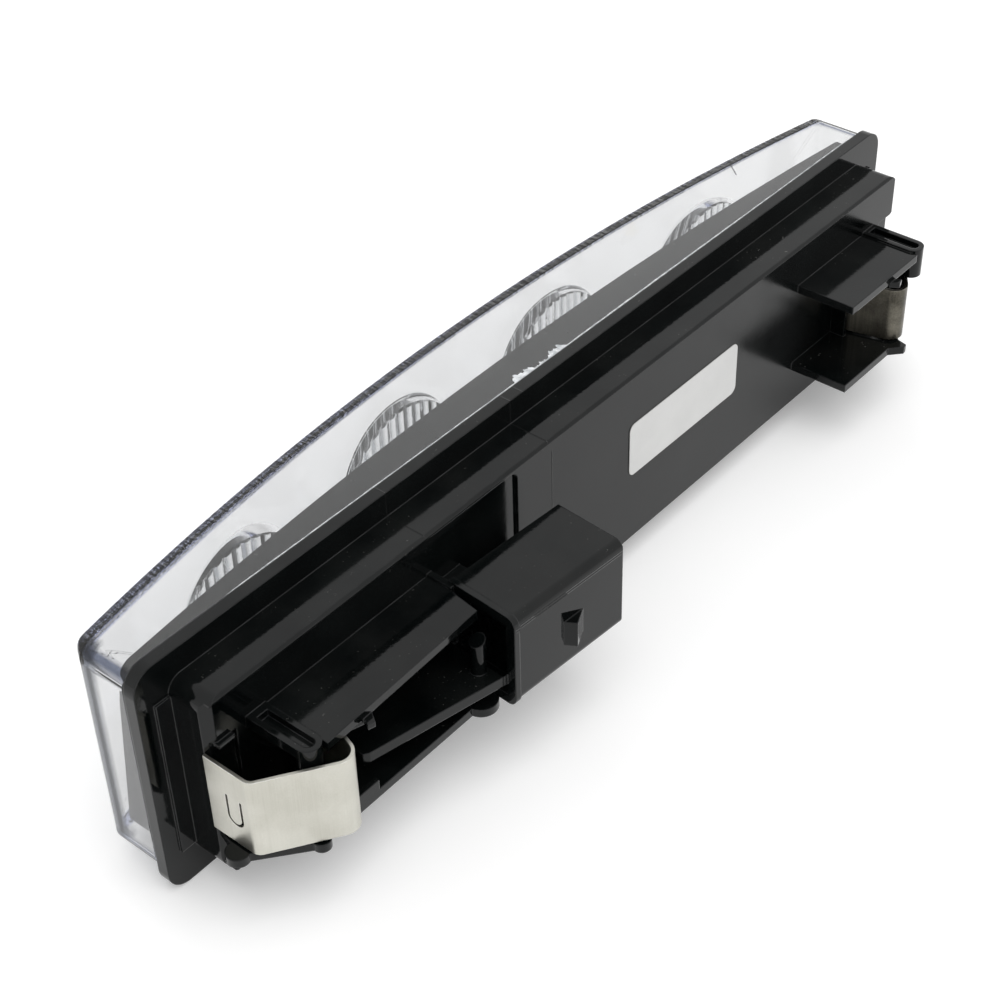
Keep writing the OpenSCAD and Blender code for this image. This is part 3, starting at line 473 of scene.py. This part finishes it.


# Outer lens
# A bowed cover in clear plastic, open at the back, with a thin even wall and round upright corners. It is
# polished outside, so through its top wall it shows the black rim that it is pushed over. Its front rim has
# fine ripples from the mould, and its top wall has a small nick. The dark bluish band along its front rim,
# the dark front edge at its near end and the dark patch at its near top corner are painted reflections of the
# dark housing inside.
cover_half_l, cover_half_h, cover_middle_z = 0.1097, 0.0228, 0.0011
cover_foot_y, cover_apex_y, bow_radius = -0.0032, -0.0258, 0.566
cover_wall = 0.0013
outline_round, end_round, front_round = 0.003, 0.003, 0.0004
least_outline_round, least_edge_round = 0.0008, 0.0003
lens_ior = 1.49
# The rim, end and corner colours are painted reflections of the dark housing, not tints of the plastic.
clear_tone, rim_painted_reflection = (0.85, 0.853, 0.857, 1), (0.46, 0.50, 0.72, 1)
end_painted_reflection, corner_painted_reflection = (0.15, 0.16, 0.18, 1), (0.06, 0.075, 0.13, 1)
rim_from_x, rim_depth_far, rim_depth_near = -0.02, 0.0016, 0.0030
rim_back, rim_fade = (0.0018, 0.0022), 0.0002
end_inset, end_back = (0.0046, 0.0030), (0.0041, 0.0045)
corner_in, corner_drop = (0.0028, 0.0018), (0.0030, 0.0008)
nick_from, nick_length, nick_angle = (-0.0788, -0.0179), 0.0041, math.radians(51)
nick_sides, nick_tip, dent_edge = (0.00008, 0.00020), 0.0002, (0.00022, 0.00046)
nick_colour, nick_skin = (0.03, 0.03, 0.035, 1), 0.0004


def bow(x, inset=0.0):
    """The front's place along Y: y0 + R - sqrt((R - inset)^2 - x^2)."""
    return cover_apex_y + bow_radius - np.sqrt((bow_radius - inset) ** 2 - np.asarray(x) ** 2)


def cover_loop(inset):
    """A rectangle with round corners: corner centre + r * (cos a, sin a) and straight runs between them.
    Gives the points and their outward directions in X and Z."""
    length, height = cover_half_l - inset, cover_half_h - inset
    r = max(outline_round - inset, least_outline_round)
    rise, run = np.linspace(0, height - r, 10)[:-1], np.linspace(length - r, r - length, 260)[1:-1]
    quarter = np.linspace(0, np.pi / 2, 10)
    x = np.concatenate([0 * rise + length, length - r + r * np.cos(quarter), run,
                        r - length - r * np.sin(quarter), 0 * rise - length])
    z = np.concatenate([rise, height - r + r * np.sin(quarter), 0 * run + height,
                        height - r + r * np.cos(quarter), rise[::-1]])
    out_x = np.concatenate([0 * rise + 1, np.cos(quarter), 0 * run, -np.sin(quarter), 0 * rise - 1])
    out_z = np.concatenate([0 * rise, np.sin(quarter), 0 * run + 1, np.cos(quarter), 0 * rise])
    return (np.concatenate([x, x[-2:0:-1]]), np.concatenate([z, -z[-2:0:-1]]),
            np.concatenate([out_x, out_x[-2:0:-1]]), np.concatenate([out_z, -out_z[-2:0:-1]]))


def cover_skin(inset):
    """One skin of the cover from its foot to the middle of its front. The walls are straight, the edge turns
    by (1 - cos a, 1 - sin a) times its radius, and the front closes on a line by shares of the way."""
    x, z, out_x, out_z = cover_loop(inset)
    turn = np.maximum(front_round + (end_round - front_round) * out_x ** 2 - inset, least_edge_round)
    rows = [np.stack([x, cover_foot_y + (bow(x, inset) + turn - cover_foot_y) * share, z], axis=-1)
            for share in (0, 0.02, 0.35, 0.7)]
    for a in np.linspace(0, np.pi / 2, 8):
        edge_x, edge_z = x - out_x * turn * (1 - np.cos(a)), z - out_z * turn * (1 - np.cos(a))
        rows.append(np.stack([edge_x, bow(edge_x, inset) + turn * (1 - np.sin(a)), edge_z], axis=-1))
    line_x = np.clip(edge_x, cover_half_h - cover_half_l, cover_half_l - cover_half_h)
    for share in np.linspace(0, 1, 16)[1:]:
        face_x = edge_x + (line_x - edge_x) * share
        rows.append(np.stack([face_x, bow(face_x, inset), edge_z * (1 - share)], axis=-1))
    return np.array(rows) + [0, 0, cover_middle_z]


def let_lamps_through(tree):
    """Lets the light of the lamps through clear plastic, a little tinted; all other rays meet the shader."""
    lamp_rays = add(tree, "LightPath").outputs["Is Shadow Ray"]
    tinted = add(tree, "BsdfTransparent", {"Color": (0.92, 0.93, 0.94, 1)}).outputs[0]
    either = add(tree, "MixShader", {0: lamp_rays, 1: tree.nodes["Principled BSDF"].outputs[0], 2: tinted})
    tree.links.new(either.outputs[0], tree.nodes["Material Output"].inputs["Surface"])


clear, clear_tree, clear_in = new_finish("clear lens plastic", IOR=lens_ior, Transmission_Weight=1.0,
                                         Metallic=0.0)
clear_place = here(clear_tree)
clear_axes = axes_of(clear_tree, clear_place)
bow_depth = math_node(clear_tree, "DIVIDE", product(clear_tree, clear_axes["X"], clear_axes["X"]),
                      2 * bow_radius)
behind_apex = math_node(clear_tree, "SUBTRACT", clear_axes["Y"], cover_apex_y)
behind_front = math_node(clear_tree, "SUBTRACT", behind_apex, bow_depth)
from_middle_x = math_node(clear_tree, "ABSOLUTE", clear_axes["X"])
from_middle_z = apart(clear_tree, clear_axes["Z"], cover_middle_z)

# The painted dark reflection along the rim is deeper towards the near end, and the painted dark front edge is
# at the near end only
rim_depth = ranged(clear_tree, clear_axes["X"], rim_from_x, cover_half_l, rim_depth_far, rim_depth_near)
at_rim = product(clear_tree, ranged(clear_tree, behind_front, *rim_back, 1.0, 0.0),
                 ranged(clear_tree, math_node(clear_tree, "ADD", from_middle_z, rim_depth),
                        cover_half_h - rim_fade, cover_half_h + rim_fade))
at_end = product(clear_tree, ranged(clear_tree, clear_axes["X"], *(cover_half_l - at for at in end_inset)),
                 ranged(clear_tree, behind_front, *end_back, 1.0, 0.0))
at_corner = product(clear_tree, ranged(clear_tree, from_middle_x, *(cover_half_l - at for at in corner_in)),
                    ranged(clear_tree, from_middle_z, *(cover_half_h - at for at in corner_drop)))
# Painted reflections: the dark band on the rim, the dark front edge of the near end and the dark patch at the
# near top corner.
rim_painted_colour = blended(clear_tree, at_rim, clear_tone, rim_painted_reflection)
end_painted_colour = blended(clear_tree, at_end, rim_painted_colour, end_painted_reflection)
corner_painted_colour = blended(clear_tree, at_corner, end_painted_colour, corner_painted_reflection)

# A nick in the top wall near the far end, with a small round dent where it starts, has filled with dirt
nick_place = add(clear_tree, "Mapping", {"Vector": clear_place, "Location": (*nick_from, 0.0),
                                         "Rotation": (0, 0, nick_angle)}, vector_type="TEXTURE").outputs[0]
nick_axes = axes_of(clear_tree, nick_place)
nick_middle = apart(clear_tree, nick_axes["X"], nick_length / 2)
nick_aside = math_node(clear_tree, "ABSOLUTE", nick_axes["Y"])
nick_line = product(clear_tree,
                    ranged(clear_tree, nick_middle, nick_length / 2 - nick_tip, nick_length / 2, 1.0, 0.0),
                    ranged(clear_tree, nick_aside, *nick_sides, 1.0, 0.0))
nick_flat = add(clear_tree, "VectorMath", {0: nick_place, 1: (1, 1, 0)}, operation="MULTIPLY").outputs[0]
nick_dent = ranged(clear_tree, reach(clear_tree, nick_flat), *dent_edge, 1.0, 0.0)
nick_on_top = product(clear_tree, math_node(clear_tree, "MAXIMUM", nick_line, nick_dent),
                      math_node(clear_tree, "GREATER_THAN", clear_axes["Z"],
                                cover_middle_z + cover_half_h - nick_skin))

ripple_place = add(clear_tree, "Mapping", {"Vector": clear_place, "Rotation": (0.0, 0.5, 0.6),
                                           "Scale": (1100, 300, 500)}).outputs[0]
ripples = product(clear_tree, noise(clear_tree, 1.0, 3.0, ripple_place), at_rim)
wave_bump = bump(clear_tree, noise(clear_tree, 45.0, 1.0, clear_place), 0.25, 0.0004)
feed(clear_tree, clear_in, None, colour=blended(clear_tree, nick_on_top, corner_painted_colour, nick_colour),
     roughness=ranged(clear_tree, noise(clear_tree, 120.0, 6.0, clear_place), 0.45, 0.75, 0.0, 0.05),
     normal=bump(clear_tree, ripples, 0.8, 0.0009, wave_bump))
let_lamps_through(clear_tree)
dress("outer_lens", clear)
clear_cover = new_piece("clear_cover", np.concatenate([cover_skin(cover_wall)[::-1], cover_skin(0.0)]), clear,
                        around=True)
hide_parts("outer_lens")


# Fluted optics
# Four round optics moulded on the inside of the cover, one before each bowl. Each has a plain sloping rim and
# a round field of upright half round flutes that spread the light sideways. Their plastic bends the light
# less here than the cover's does, which keeps the flutes as pale as they look through the real cover.
optic_places = (0.0709, 0.0243, -0.0232, -0.0706)
optic_rim, flute_field, optic_depth = 0.0160, 0.0153, 0.0020
flute_pitch, flute_round = 0.0023, 0.0013
rim_clearance, skin_gap = 0.0001, 0.00003
optic_ior = 1.3
optic_dark, optic_light = (0.86, 0.87, 0.88, 1), (0.93, 0.935, 0.94, 1)


def optic_ring(middle_x):
    """A ring round Y with a four sided section: its front follows the cover's inner face, its back slopes
    from the field down to the rim."""
    a = np.linspace(0, 2 * np.pi, 180, endpoint=False)[:, None]
    radius = np.concatenate([np.linspace(flute_field + rim_clearance, optic_rim, 6),
                             np.linspace(optic_rim, flute_field + rim_clearance, 6)])[None]
    x, z = middle_x + radius * np.cos(a), cover_middle_z + radius * np.sin(a)
    front = bow(x, cover_wall) + skin_gap
    share = np.concatenate([np.zeros(6), np.linspace(0.15, 1, 6)])[None]
    back = bow(middle_x, cover_wall) + optic_depth
    return np.stack([x, front + (back - front) * share, z], axis=-1)


def fluted_field(middle_x):
    """A round plate swept along X: half width sqrt(r^2 - x^2), front on the cover's inner face, and a back
    that rises by sqrt(q^2 - u^2) over each flute, with u the distance from the flute's middle."""
    along = np.linspace(-1, 1, 241)
    x = flute_field * np.sin(along * np.pi / 2) * 0.5 + flute_field * along * 0.5
    wide = np.sqrt(np.maximum(flute_field ** 2 - x ** 2, 0))[:, None]
    u = (x + flute_pitch / 2) % flute_pitch - flute_pitch / 2
    rise = np.sqrt(flute_round ** 2 - u ** 2) - math.sqrt(flute_round ** 2 - (flute_pitch / 2) ** 2)
    across = np.linspace(-1, 1, 20)
    z = wide * np.concatenate([across, across[::-1]])[None]
    front = np.broadcast_to((bow(middle_x + x, cover_wall) + skin_gap)[:, None], (len(x), 20))
    back = np.broadcast_to((bow(middle_x, cover_wall) + optic_depth + rise)[:, None], (len(x), 20))
    y = np.concatenate([front, back], axis=1)
    return np.stack([np.broadcast_to((middle_x + x)[:, None], y.shape), y, z + cover_middle_z], axis=-1)


clear_optic, optic_tree, optic_in = new_finish("clear optic plastic", IOR=optic_ior, Transmission_Weight=1.0,
                                               Metallic=0.0)
optic_haze = noise(optic_tree, 260.0, 5.0)
feed(optic_tree, optic_in, None,
     colour=blended(optic_tree, ranged(optic_tree, optic_haze, 0.4, 0.7), optic_dark, optic_light),
     roughness=ranged(optic_tree, optic_haze, 0.4, 0.7, 0.01, 0.10),
     normal=bump(optic_tree, optic_haze, 0.2, 0.0002))
let_lamps_through(optic_tree)

for number, middle_x in enumerate(optic_places, 1):
    for name, points, closed in ((f"optic_rim_{number}", optic_ring(middle_x), True),
                                 (f"optic_field_{number}", fluted_field(middle_x), False)):
        optic_part = new_piece(name, points, clear_optic, around=True, along=closed)


# Reflector
# One moulding with four bowls, coated with a bright metal film under a clear lacquer. The film follows the
# faint waves of the moulding, and a little dust has settled on it.
film_dark, film_light = (0.80, 0.81, 0.82, 1), (0.92, 0.93, 0.94, 1)

film, film_tree, film_in = new_finish("bright metal film", Metallic=1.0, Coat_Weight=0.3, Coat_Roughness=0.04)
film_look = use_group(film_tree, mottle, Patch_Scale=110.0, Grain_Scale=900.0, Grain_Depth=0.12,
                      Dark=film_dark, Light=film_light, Smooth=0.07, Rough=0.2, Edge_Radius=0.0002)
film_dust = use_group(film_tree, dust, Veil=0.03, Specks=0.3)["Mask"]
feed(film_tree, film_in, film_look, colour=blended(film_tree, film_dust, film_look["Colour"], dust_colour))
dress("reflector", film)


# Screws
# Four small screws hold the board and two hold the reflector. They are rolled steel with a bright zinc coat,
# which is a little uneven and has worn brighter on the edges.
zinc_dark, zinc_light, zinc_worn = (0.46, 0.46, 0.44, 1), (0.70, 0.70, 0.69, 1), (0.86, 0.86, 0.85, 1)

zinc, zinc_tree, zinc_in = new_finish("bright zinc", Metallic=1.0)
zinc_look = use_group(zinc_tree, mottle, Patch_Scale=500.0, Grain_Scale=3000.0, Grain_Depth=0.35,
                      Dark=zinc_dark, Light=zinc_light, Smooth=0.22, Rough=0.4, Edge_Radius=0.00012)
zinc_wear = use_group(zinc_tree, wear, Radius=0.00015, Patch_Scale=900.0)["Mask"]
feed(zinc_tree, zinc_in, zinc_look, colour=blended(zinc_tree, zinc_wear, zinc_look["Colour"], zinc_worn))
for node in ("reflector_screws", "board_screws"):
    dress(node, zinc)


# Circuit board
# A long board with a white mask over its copper. The tracks under the mask show as faint raised strips that
# run along the board between the lamps' pads.
mask_dark, mask_light, track_colour = (0.76, 0.77, 0.75, 1), (0.86, 0.87, 0.85, 1), (0.58, 0.60, 0.52, 1)
track_pitch, track_edge = 0.0042, (0.0007, 0.0009)
track_bend_every, track_bend_slope = 0.012, 0.35

board_finish, board_tree, board_in = new_finish("white board mask", IOR=1.5)
board = use_group(board_tree, mottle, Patch_Scale=150.0, Grain_Scale=1800.0, Grain_Depth=0.25, Dark=mask_dark,
                  Light=mask_light, Smooth=0.28, Rough=0.42, Edge_Radius=0.0001)
board_axes = axes_of(board_tree)
bend = product(board_tree, math_node(board_tree, "PINGPONG", board_axes["X"], track_bend_every),
               track_bend_slope)
across_tracks = math_node(board_tree, "PINGPONG", math_node(board_tree, "ADD", board_axes["Z"], bend),
                          track_pitch / 2)
tracks = ranged(board_tree, across_tracks, *track_edge, 1.0, 0.0)
feed(board_tree, board_in, board,
     colour=blended(board_tree, product(board_tree, tracks, 0.55), board["Colour"], track_colour),
     normal=bump(board_tree, tracks, 0.5, 0.00006, board["Normal"]))
dress("led_board", board_finish)


# Heat spreader
# A rolled aluminium plate between the board and the bosses, sheared to size, which takes the heat off the
# board. The rolling marks run along it.
rolled_dark, rolled_light = (0.62, 0.63, 0.64, 1), (0.78, 0.79, 0.80, 1)
mark_stretch = 60


def drawn_marks(tree, along, fineness):
    """Fine marks of rolling or drawing: noise on Object coordinates that are squeezed along one axis."""
    squeeze = [fineness] * 3
    squeeze["XYZ".index(along)] = fineness / mark_stretch
    squeezed = add(tree, "Mapping", {"Vector": here(tree), "Scale": squeeze}).outputs[0]
    return noise(tree, 1.0, 4.0, squeezed)


rolled, rolled_tree, rolled_in = new_finish("rolled aluminium", Metallic=1.0)
rolled_look = use_group(rolled_tree, mottle, Patch_Scale=80.0, Grain_Scale=1500.0, Grain_Depth=0.2,
                        Dark=rolled_dark, Light=rolled_light, Smooth=0.3, Rough=0.45, Edge_Radius=0.0002)
rolled_marks = drawn_marks(rolled_tree, "X", 4000.0)
feed(rolled_tree, rolled_in, rolled_look,
     colour=blended(rolled_tree, ranged(rolled_tree, rolled_marks, 0.4, 0.6, 0.0, 0.4), rolled_look["Colour"],
                    rolled_light),
     normal=bump(rolled_tree, rolled_marks, 0.2, 0.00005, rolled_look["Normal"]))
dress("heat_spreader", rolled)


# Light emitters
# Each is a square white package, soldered to the board, with a round well under a clear dome. The yellow
# layer in the well turns the blue light of the chip below it white.
package_shade, package_white = (0.70, 0.70, 0.66, 1), (0.80, 0.80, 0.77, 1)
well_yellow = (0.86, 0.62, 0.06, 1)
well_radius, well_edge = 0.0016, 0.0001

for number in range(1, 5):
    low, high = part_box(f"led_{number}")
    emitter, emitter_tree, emitter_in = new_finish(f"emitter {number}", IOR=1.45, Coat_Weight=0.6,
                                                   Coat_Roughness=0.08)
    emitter_look = use_group(emitter_tree, mottle, Patch_Scale=900.0, Grain_Scale=4000.0, Grain_Depth=0.3,
                             Dark=package_shade, Light=package_white, Smooth=0.25, Rough=0.4,
                             Edge_Radius=0.0001)
    centred = add(emitter_tree, "Mapping", {"Vector": here(emitter_tree), "Scale": (1, 0, 1),
                                            "Location": (-(low.x + high.x) / 2, 0, -(low.z + high.z) / 2)})
    from_middle = reach(emitter_tree, centred.outputs[0])
    in_well = ranged(emitter_tree, from_middle, well_radius, well_radius + well_edge, 1.0, 0.0)
    feed(emitter_tree, emitter_in, emitter_look,
         colour=blended(emitter_tree, in_well, emitter_look["Colour"], well_yellow))
    dress(f"led_{number}", emitter)


# Driver parts
# The driver sits in the middle of the board: a black chip with tinned legs, a ferrite coil with a copper
# winding, two bright cans, a diode and a row of resistors with bright end caps.
epoxy_dark, epoxy_light = (0.010, 0.010, 0.011, 1), (0.026, 0.026, 0.028, 1)
tin = (0.66, 0.66, 0.64, 1)
can_dark, can_light, can_foot_colour = (0.66, 0.67, 0.69, 1), (0.80, 0.81, 0.82, 1), (0.03, 0.03, 0.035, 1)
ferrite_dark, ferrite_light = (0.035, 0.035, 0.04, 1), (0.07, 0.07, 0.08, 1)
copper_dark, copper_light = (0.42, 0.14, 0.05, 1), (0.72, 0.30, 0.12, 1)
chip_low, chip_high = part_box("driver_chip")
leg_reach = 0.00084
chip_middle, chip_half = (chip_low.z + chip_high.z) / 2, (chip_high.z - chip_low.z) / 2 - leg_reach
diode_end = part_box("driver_diode")[1].x
diode_band = (0.0009, 0.0005)
resistor_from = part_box("driver_resistors")[0].x
resistor_length, resistor_step, resistor_cap = 0.002, 0.0036, 0.0004
can_base, can_foot_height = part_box("driver_capacitors")[1].y, 0.0007
coil_low, coil_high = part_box("driver_coil")
coil_middle = np.array([(coil_low.x + coil_high.x) / 2, 0, (coil_low.z + coil_high.z) / 2])
disc_thickness, wire_radius = 0.00099, 0.00017
winding_turns, winding_radius, turn_steps, wire_sides = 7, 0.0030, 40, 8


def epoxy_finish(name, metal_mask):
    """Black filled resin that turns to tin where a mask is 1; metal_mask works the mask out from the axes."""
    made, tree, ins = new_finish(name, IOR=1.5)
    look = use_group(tree, mottle, Patch_Scale=600.0, Grain_Scale=4500.0, Grain_Depth=0.5, Dark=epoxy_dark,
                     Light=epoxy_light, Smooth=0.4, Rough=0.6, Edge_Radius=0.0001)
    mask = metal_mask(tree, axes_of(tree))
    feed(tree, ins, look, colour=blended(tree, mask, look["Colour"], tin))
    tree.links.new(mask, ins["Metallic"])
    return made


def chip_legs(tree, axes):
    """The tinned legs, which stand out past the resin on both sides."""
    return math_node(tree, "GREATER_THAN", apart(tree, axes["Z"], chip_middle), chip_half)


def diode_stripe(tree, axes):
    """The pale stripe that marks one end of the diode."""
    return between(tree, axes["X"], *(diode_end - at for at in diode_band))


def resistor_caps(tree, axes):
    """The bright caps on both ends of each resistor in the row."""
    along = math_node(tree, "SUBTRACT", axes["X"], resistor_from + resistor_length / 2)
    from_middle = math_node(tree, "PINGPONG", along, resistor_step / 2)
    return math_node(tree, "GREATER_THAN", from_middle, resistor_length / 2 - resistor_cap)


def tube_round_y(path, centre, radius, sides):
    """Points of a tube wound round the Y axis through centre: path + radius * (cos a * outwards + sin a * Y).
    Its first and last rings shrink to a point, which closes the ends."""
    out = (path - centre) * [1, 0, 1]
    out /= np.linalg.norm(out, axis=1, keepdims=True)
    size = np.full(len(path), radius)
    size[[0, -1]] = 0.0
    a = np.linspace(0, 2 * np.pi, sides, endpoint=False)[None, :, None]
    return path[:, None] + size[:, None, None] * (np.cos(a) * out[:, None] + np.sin(a) * [0, 1, 0])


dress("driver_chip", epoxy_finish("chip resin", chip_legs))
dress("driver_diode", epoxy_finish("diode resin", diode_stripe))
dress("driver_resistors", epoxy_finish("resistor film", resistor_caps))

can_finish, can_tree, can_in = new_finish("capacitor can", Metallic=1.0)
can_look = use_group(can_tree, mottle, Patch_Scale=300.0, Grain_Scale=2500.0, Grain_Depth=0.2, Dark=can_dark,
                     Light=can_light, Smooth=0.16, Rough=0.3, Edge_Radius=0.0003)
can_foot = math_node(can_tree, "GREATER_THAN", axes_of(can_tree)["Y"], can_base - can_foot_height)
feed(can_tree, can_in, can_look, colour=blended(can_tree, can_foot, can_look["Colour"], can_foot_colour))
dress("driver_capacitors", can_finish)

dress("driver_coil", mottled_finish(
    "pressed ferrite", {"IOR": 1.6}, Patch_Scale=700.0, Grain_Scale=5000.0, Grain_Depth=0.7,
    Dark=ferrite_dark, Light=ferrite_light, Smooth=0.4, Rough=0.6, Edge_Radius=0.00015))
enamel = mottled_finish(
    "enamelled copper wire", {"Metallic": 1.0, "Coat_Weight": 0.5, "Coat_Roughness": 0.12}, Patch_Scale=900.0,
    Grain_Scale=4000.0, Grain_Depth=0.2, Dark=copper_dark, Light=copper_light, Smooth=0.2, Rough=0.35,
    Edge_Radius=0.0)
winding_angle = np.linspace(0, 2 * np.pi * winding_turns, turn_steps * winding_turns)
winding_y = np.linspace(coil_low.y + disc_thickness + wire_radius, coil_high.y - disc_thickness - wire_radius,
                        len(winding_angle))
winding_path = coil_middle + np.column_stack([winding_radius * np.cos(winding_angle), winding_y,
                                              winding_radius * np.sin(winding_angle)])
coil_winding = new_piece("coil_winding", tube_round_y(winding_path, coil_middle, wire_radius, wire_sides),
                         enamel, around=True)


# Contact blades
# Two blades stamped from brass strip and tinned. Each goes from its solder joint on the board, through the
# housing, and turns into the plug socket. A small cone of solder holds each to the board.
blade_dark, blade_light, blade_marked = (0.58, 0.50, 0.34, 1), (0.80, 0.74, 0.58, 1), (0.74, 0.73, 0.70, 1)
solder_dark, solder_light = (0.56, 0.56, 0.56, 1), (0.76, 0.76, 0.75, 1)
board_face_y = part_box("led_board")[0].y
joint_radius, joint_tip, joint_height, joint_inset = 0.0018, 0.0002, 0.0009, 0.0004


def solder_cone(centre):
    """A concave cone round a point on the board: radius r0 * (1 - t) ** 2 + r1 at height h * t, closed by a
    point at its top and its foot."""
    t = np.linspace(0, 1, 9)
    r = np.concatenate([[0], joint_radius * (1 - t) ** 2 + joint_tip, [0]])
    y = -joint_height * np.concatenate([[0], t, [1]])
    a = np.linspace(0, 2 * np.pi, 24, endpoint=False)
    return np.stack([centre[0] + r[:, None] * np.cos(a), centre[1] + y[:, None] + 0 * a,
                     centre[2] + r[:, None] * np.sin(a)], axis=-1)


blade, blade_tree, blade_in = new_finish("tinned brass", Metallic=1.0)
blade_look = use_group(blade_tree, mottle, Patch_Scale=300.0, Grain_Scale=2500.0, Grain_Depth=0.2,
                       Dark=blade_dark, Light=blade_light, Smooth=0.18, Rough=0.34, Edge_Radius=0.00012)
blade_marks = ranged(blade_tree, drawn_marks(blade_tree, "X", 9000.0), 0.4, 0.6, 0.0, 0.5)
feed(blade_tree, blade_in, blade_look,
     colour=blended(blade_tree, blade_marks, blade_look["Colour"], blade_marked))
solder = mottled_finish(
    "solder", {"Metallic": 1.0}, Patch_Scale=800.0, Grain_Scale=3500.0, Grain_Depth=0.3, Dark=solder_dark,
    Light=solder_light, Smooth=0.15, Rough=0.32, Edge_Radius=0.0)
for node in ("supply_pin", "ground_pin"):
    dress(node, blade)
    low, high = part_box(node)
    joint = new_piece(f"{node}_solder",
                      solder_cone((high.x - joint_inset, board_face_y, (low.z + high.z) / 2)), solder,
                      around=True)


# Spring clips
# Two strips of bright stainless spring steel, bent on a press, each in the notch at one end of the box. The
# rolling marks run round the bends and the sheared edges are a little brighter. The strip at the far end lies
# in shade, and its darker colours are painted shade.
strip_dark, strip_light = (0.52, 0.51, 0.45, 1), (0.66, 0.65, 0.59, 1)
strip_marked, strip_edge = (0.60, 0.59, 0.53, 1), (0.90, 0.90, 0.88, 1)
# Darker copies of the strip's colours, as painted shade for the far clip.
far_strip_painted_shade_dark, far_strip_painted_shade_light = (0.045, 0.042, 0.034, 1), (0.24, 0.225, 0.185, 1)
far_strip_painted_shade_marked, far_strip_painted_shade_edge = (0.12, 0.11, 0.09, 1), (0.45, 0.43, 0.38, 1)


def strip_finish(name, dark, light, marked, edge):
    """Rolled spring strip: two tones in patches, the tone of its rolling marks and that of its worn edges."""
    made, tree, ins = new_finish(name, Metallic=1.0)
    look = use_group(tree, mottle, Patch_Scale=120.0, Grain_Scale=2600.0, Grain_Depth=0.25, Dark=dark,
                     Light=light, Smooth=0.30, Rough=0.44, Edge_Radius=0.00014)
    marks = drawn_marks(tree, "Z", 5000.0)
    streaks = drawn_marks(tree, "Z", 900.0)
    shade = blended(tree, ranged(tree, marks, 0.35, 0.65, 0.0, 0.45), look["Colour"], marked)
    shade = blended(tree, ranged(tree, streaks, 0.52, 0.66, 0.0, 0.30), shade, dark)
    rubbed = use_group(tree, wear, Radius=0.00018, Patch_Scale=500.0)["Mask"]
    feed(tree, ins, look, colour=blended(tree, rubbed, shade, edge),
         normal=bump(tree, marks, 0.12, 0.00004, look["Normal"]))
    return made


dress("near_clip", strip_finish("bright spring strip", strip_dark, strip_light, strip_marked, strip_edge))
# The far clip's dark colours are painted shade.
dress("far_clip", strip_finish("spring strip in painted shade", far_strip_painted_shade_dark, far_strip_painted_shade_light, far_strip_painted_shade_marked, far_strip_painted_shade_edge))


# Label
# A blank white sticker with round corners, in coated paper, pressed on by hand: its face is a little uneven
# and its cut edge shows the grey of the adhesive.
paper_dark, paper_light, paper_side = (0.70, 0.70, 0.69, 1), (0.74, 0.74, 0.73, 1), (0.35, 0.35, 0.34, 1)
paper_face_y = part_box("label")[1].y
side_fade = (0.00012, 0.00004)

paper, paper_tree, paper_in = new_finish("coated white paper", IOR=1.45)
paper_look = use_group(paper_tree, mottle, Patch_Scale=160.0, Grain_Scale=2200.0, Grain_Depth=0.3,
                       Dark=paper_dark, Light=paper_light, Smooth=0.38, Rough=0.5, Edge_Radius=0.0001)
paper_cut = ranged(paper_tree, axes_of(paper_tree)["Y"], *(paper_face_y - at for at in side_fade), 1.0, 0.0)
feed(paper_tree, paper_in, paper_look,
     colour=blended(paper_tree, paper_cut, paper_look["Colour"], paper_side),
     normal=bump(paper_tree, noise(paper_tree, 140.0, 2.0), 0.2, 0.0002, paper_look["Normal"]))
dress("label", paper)
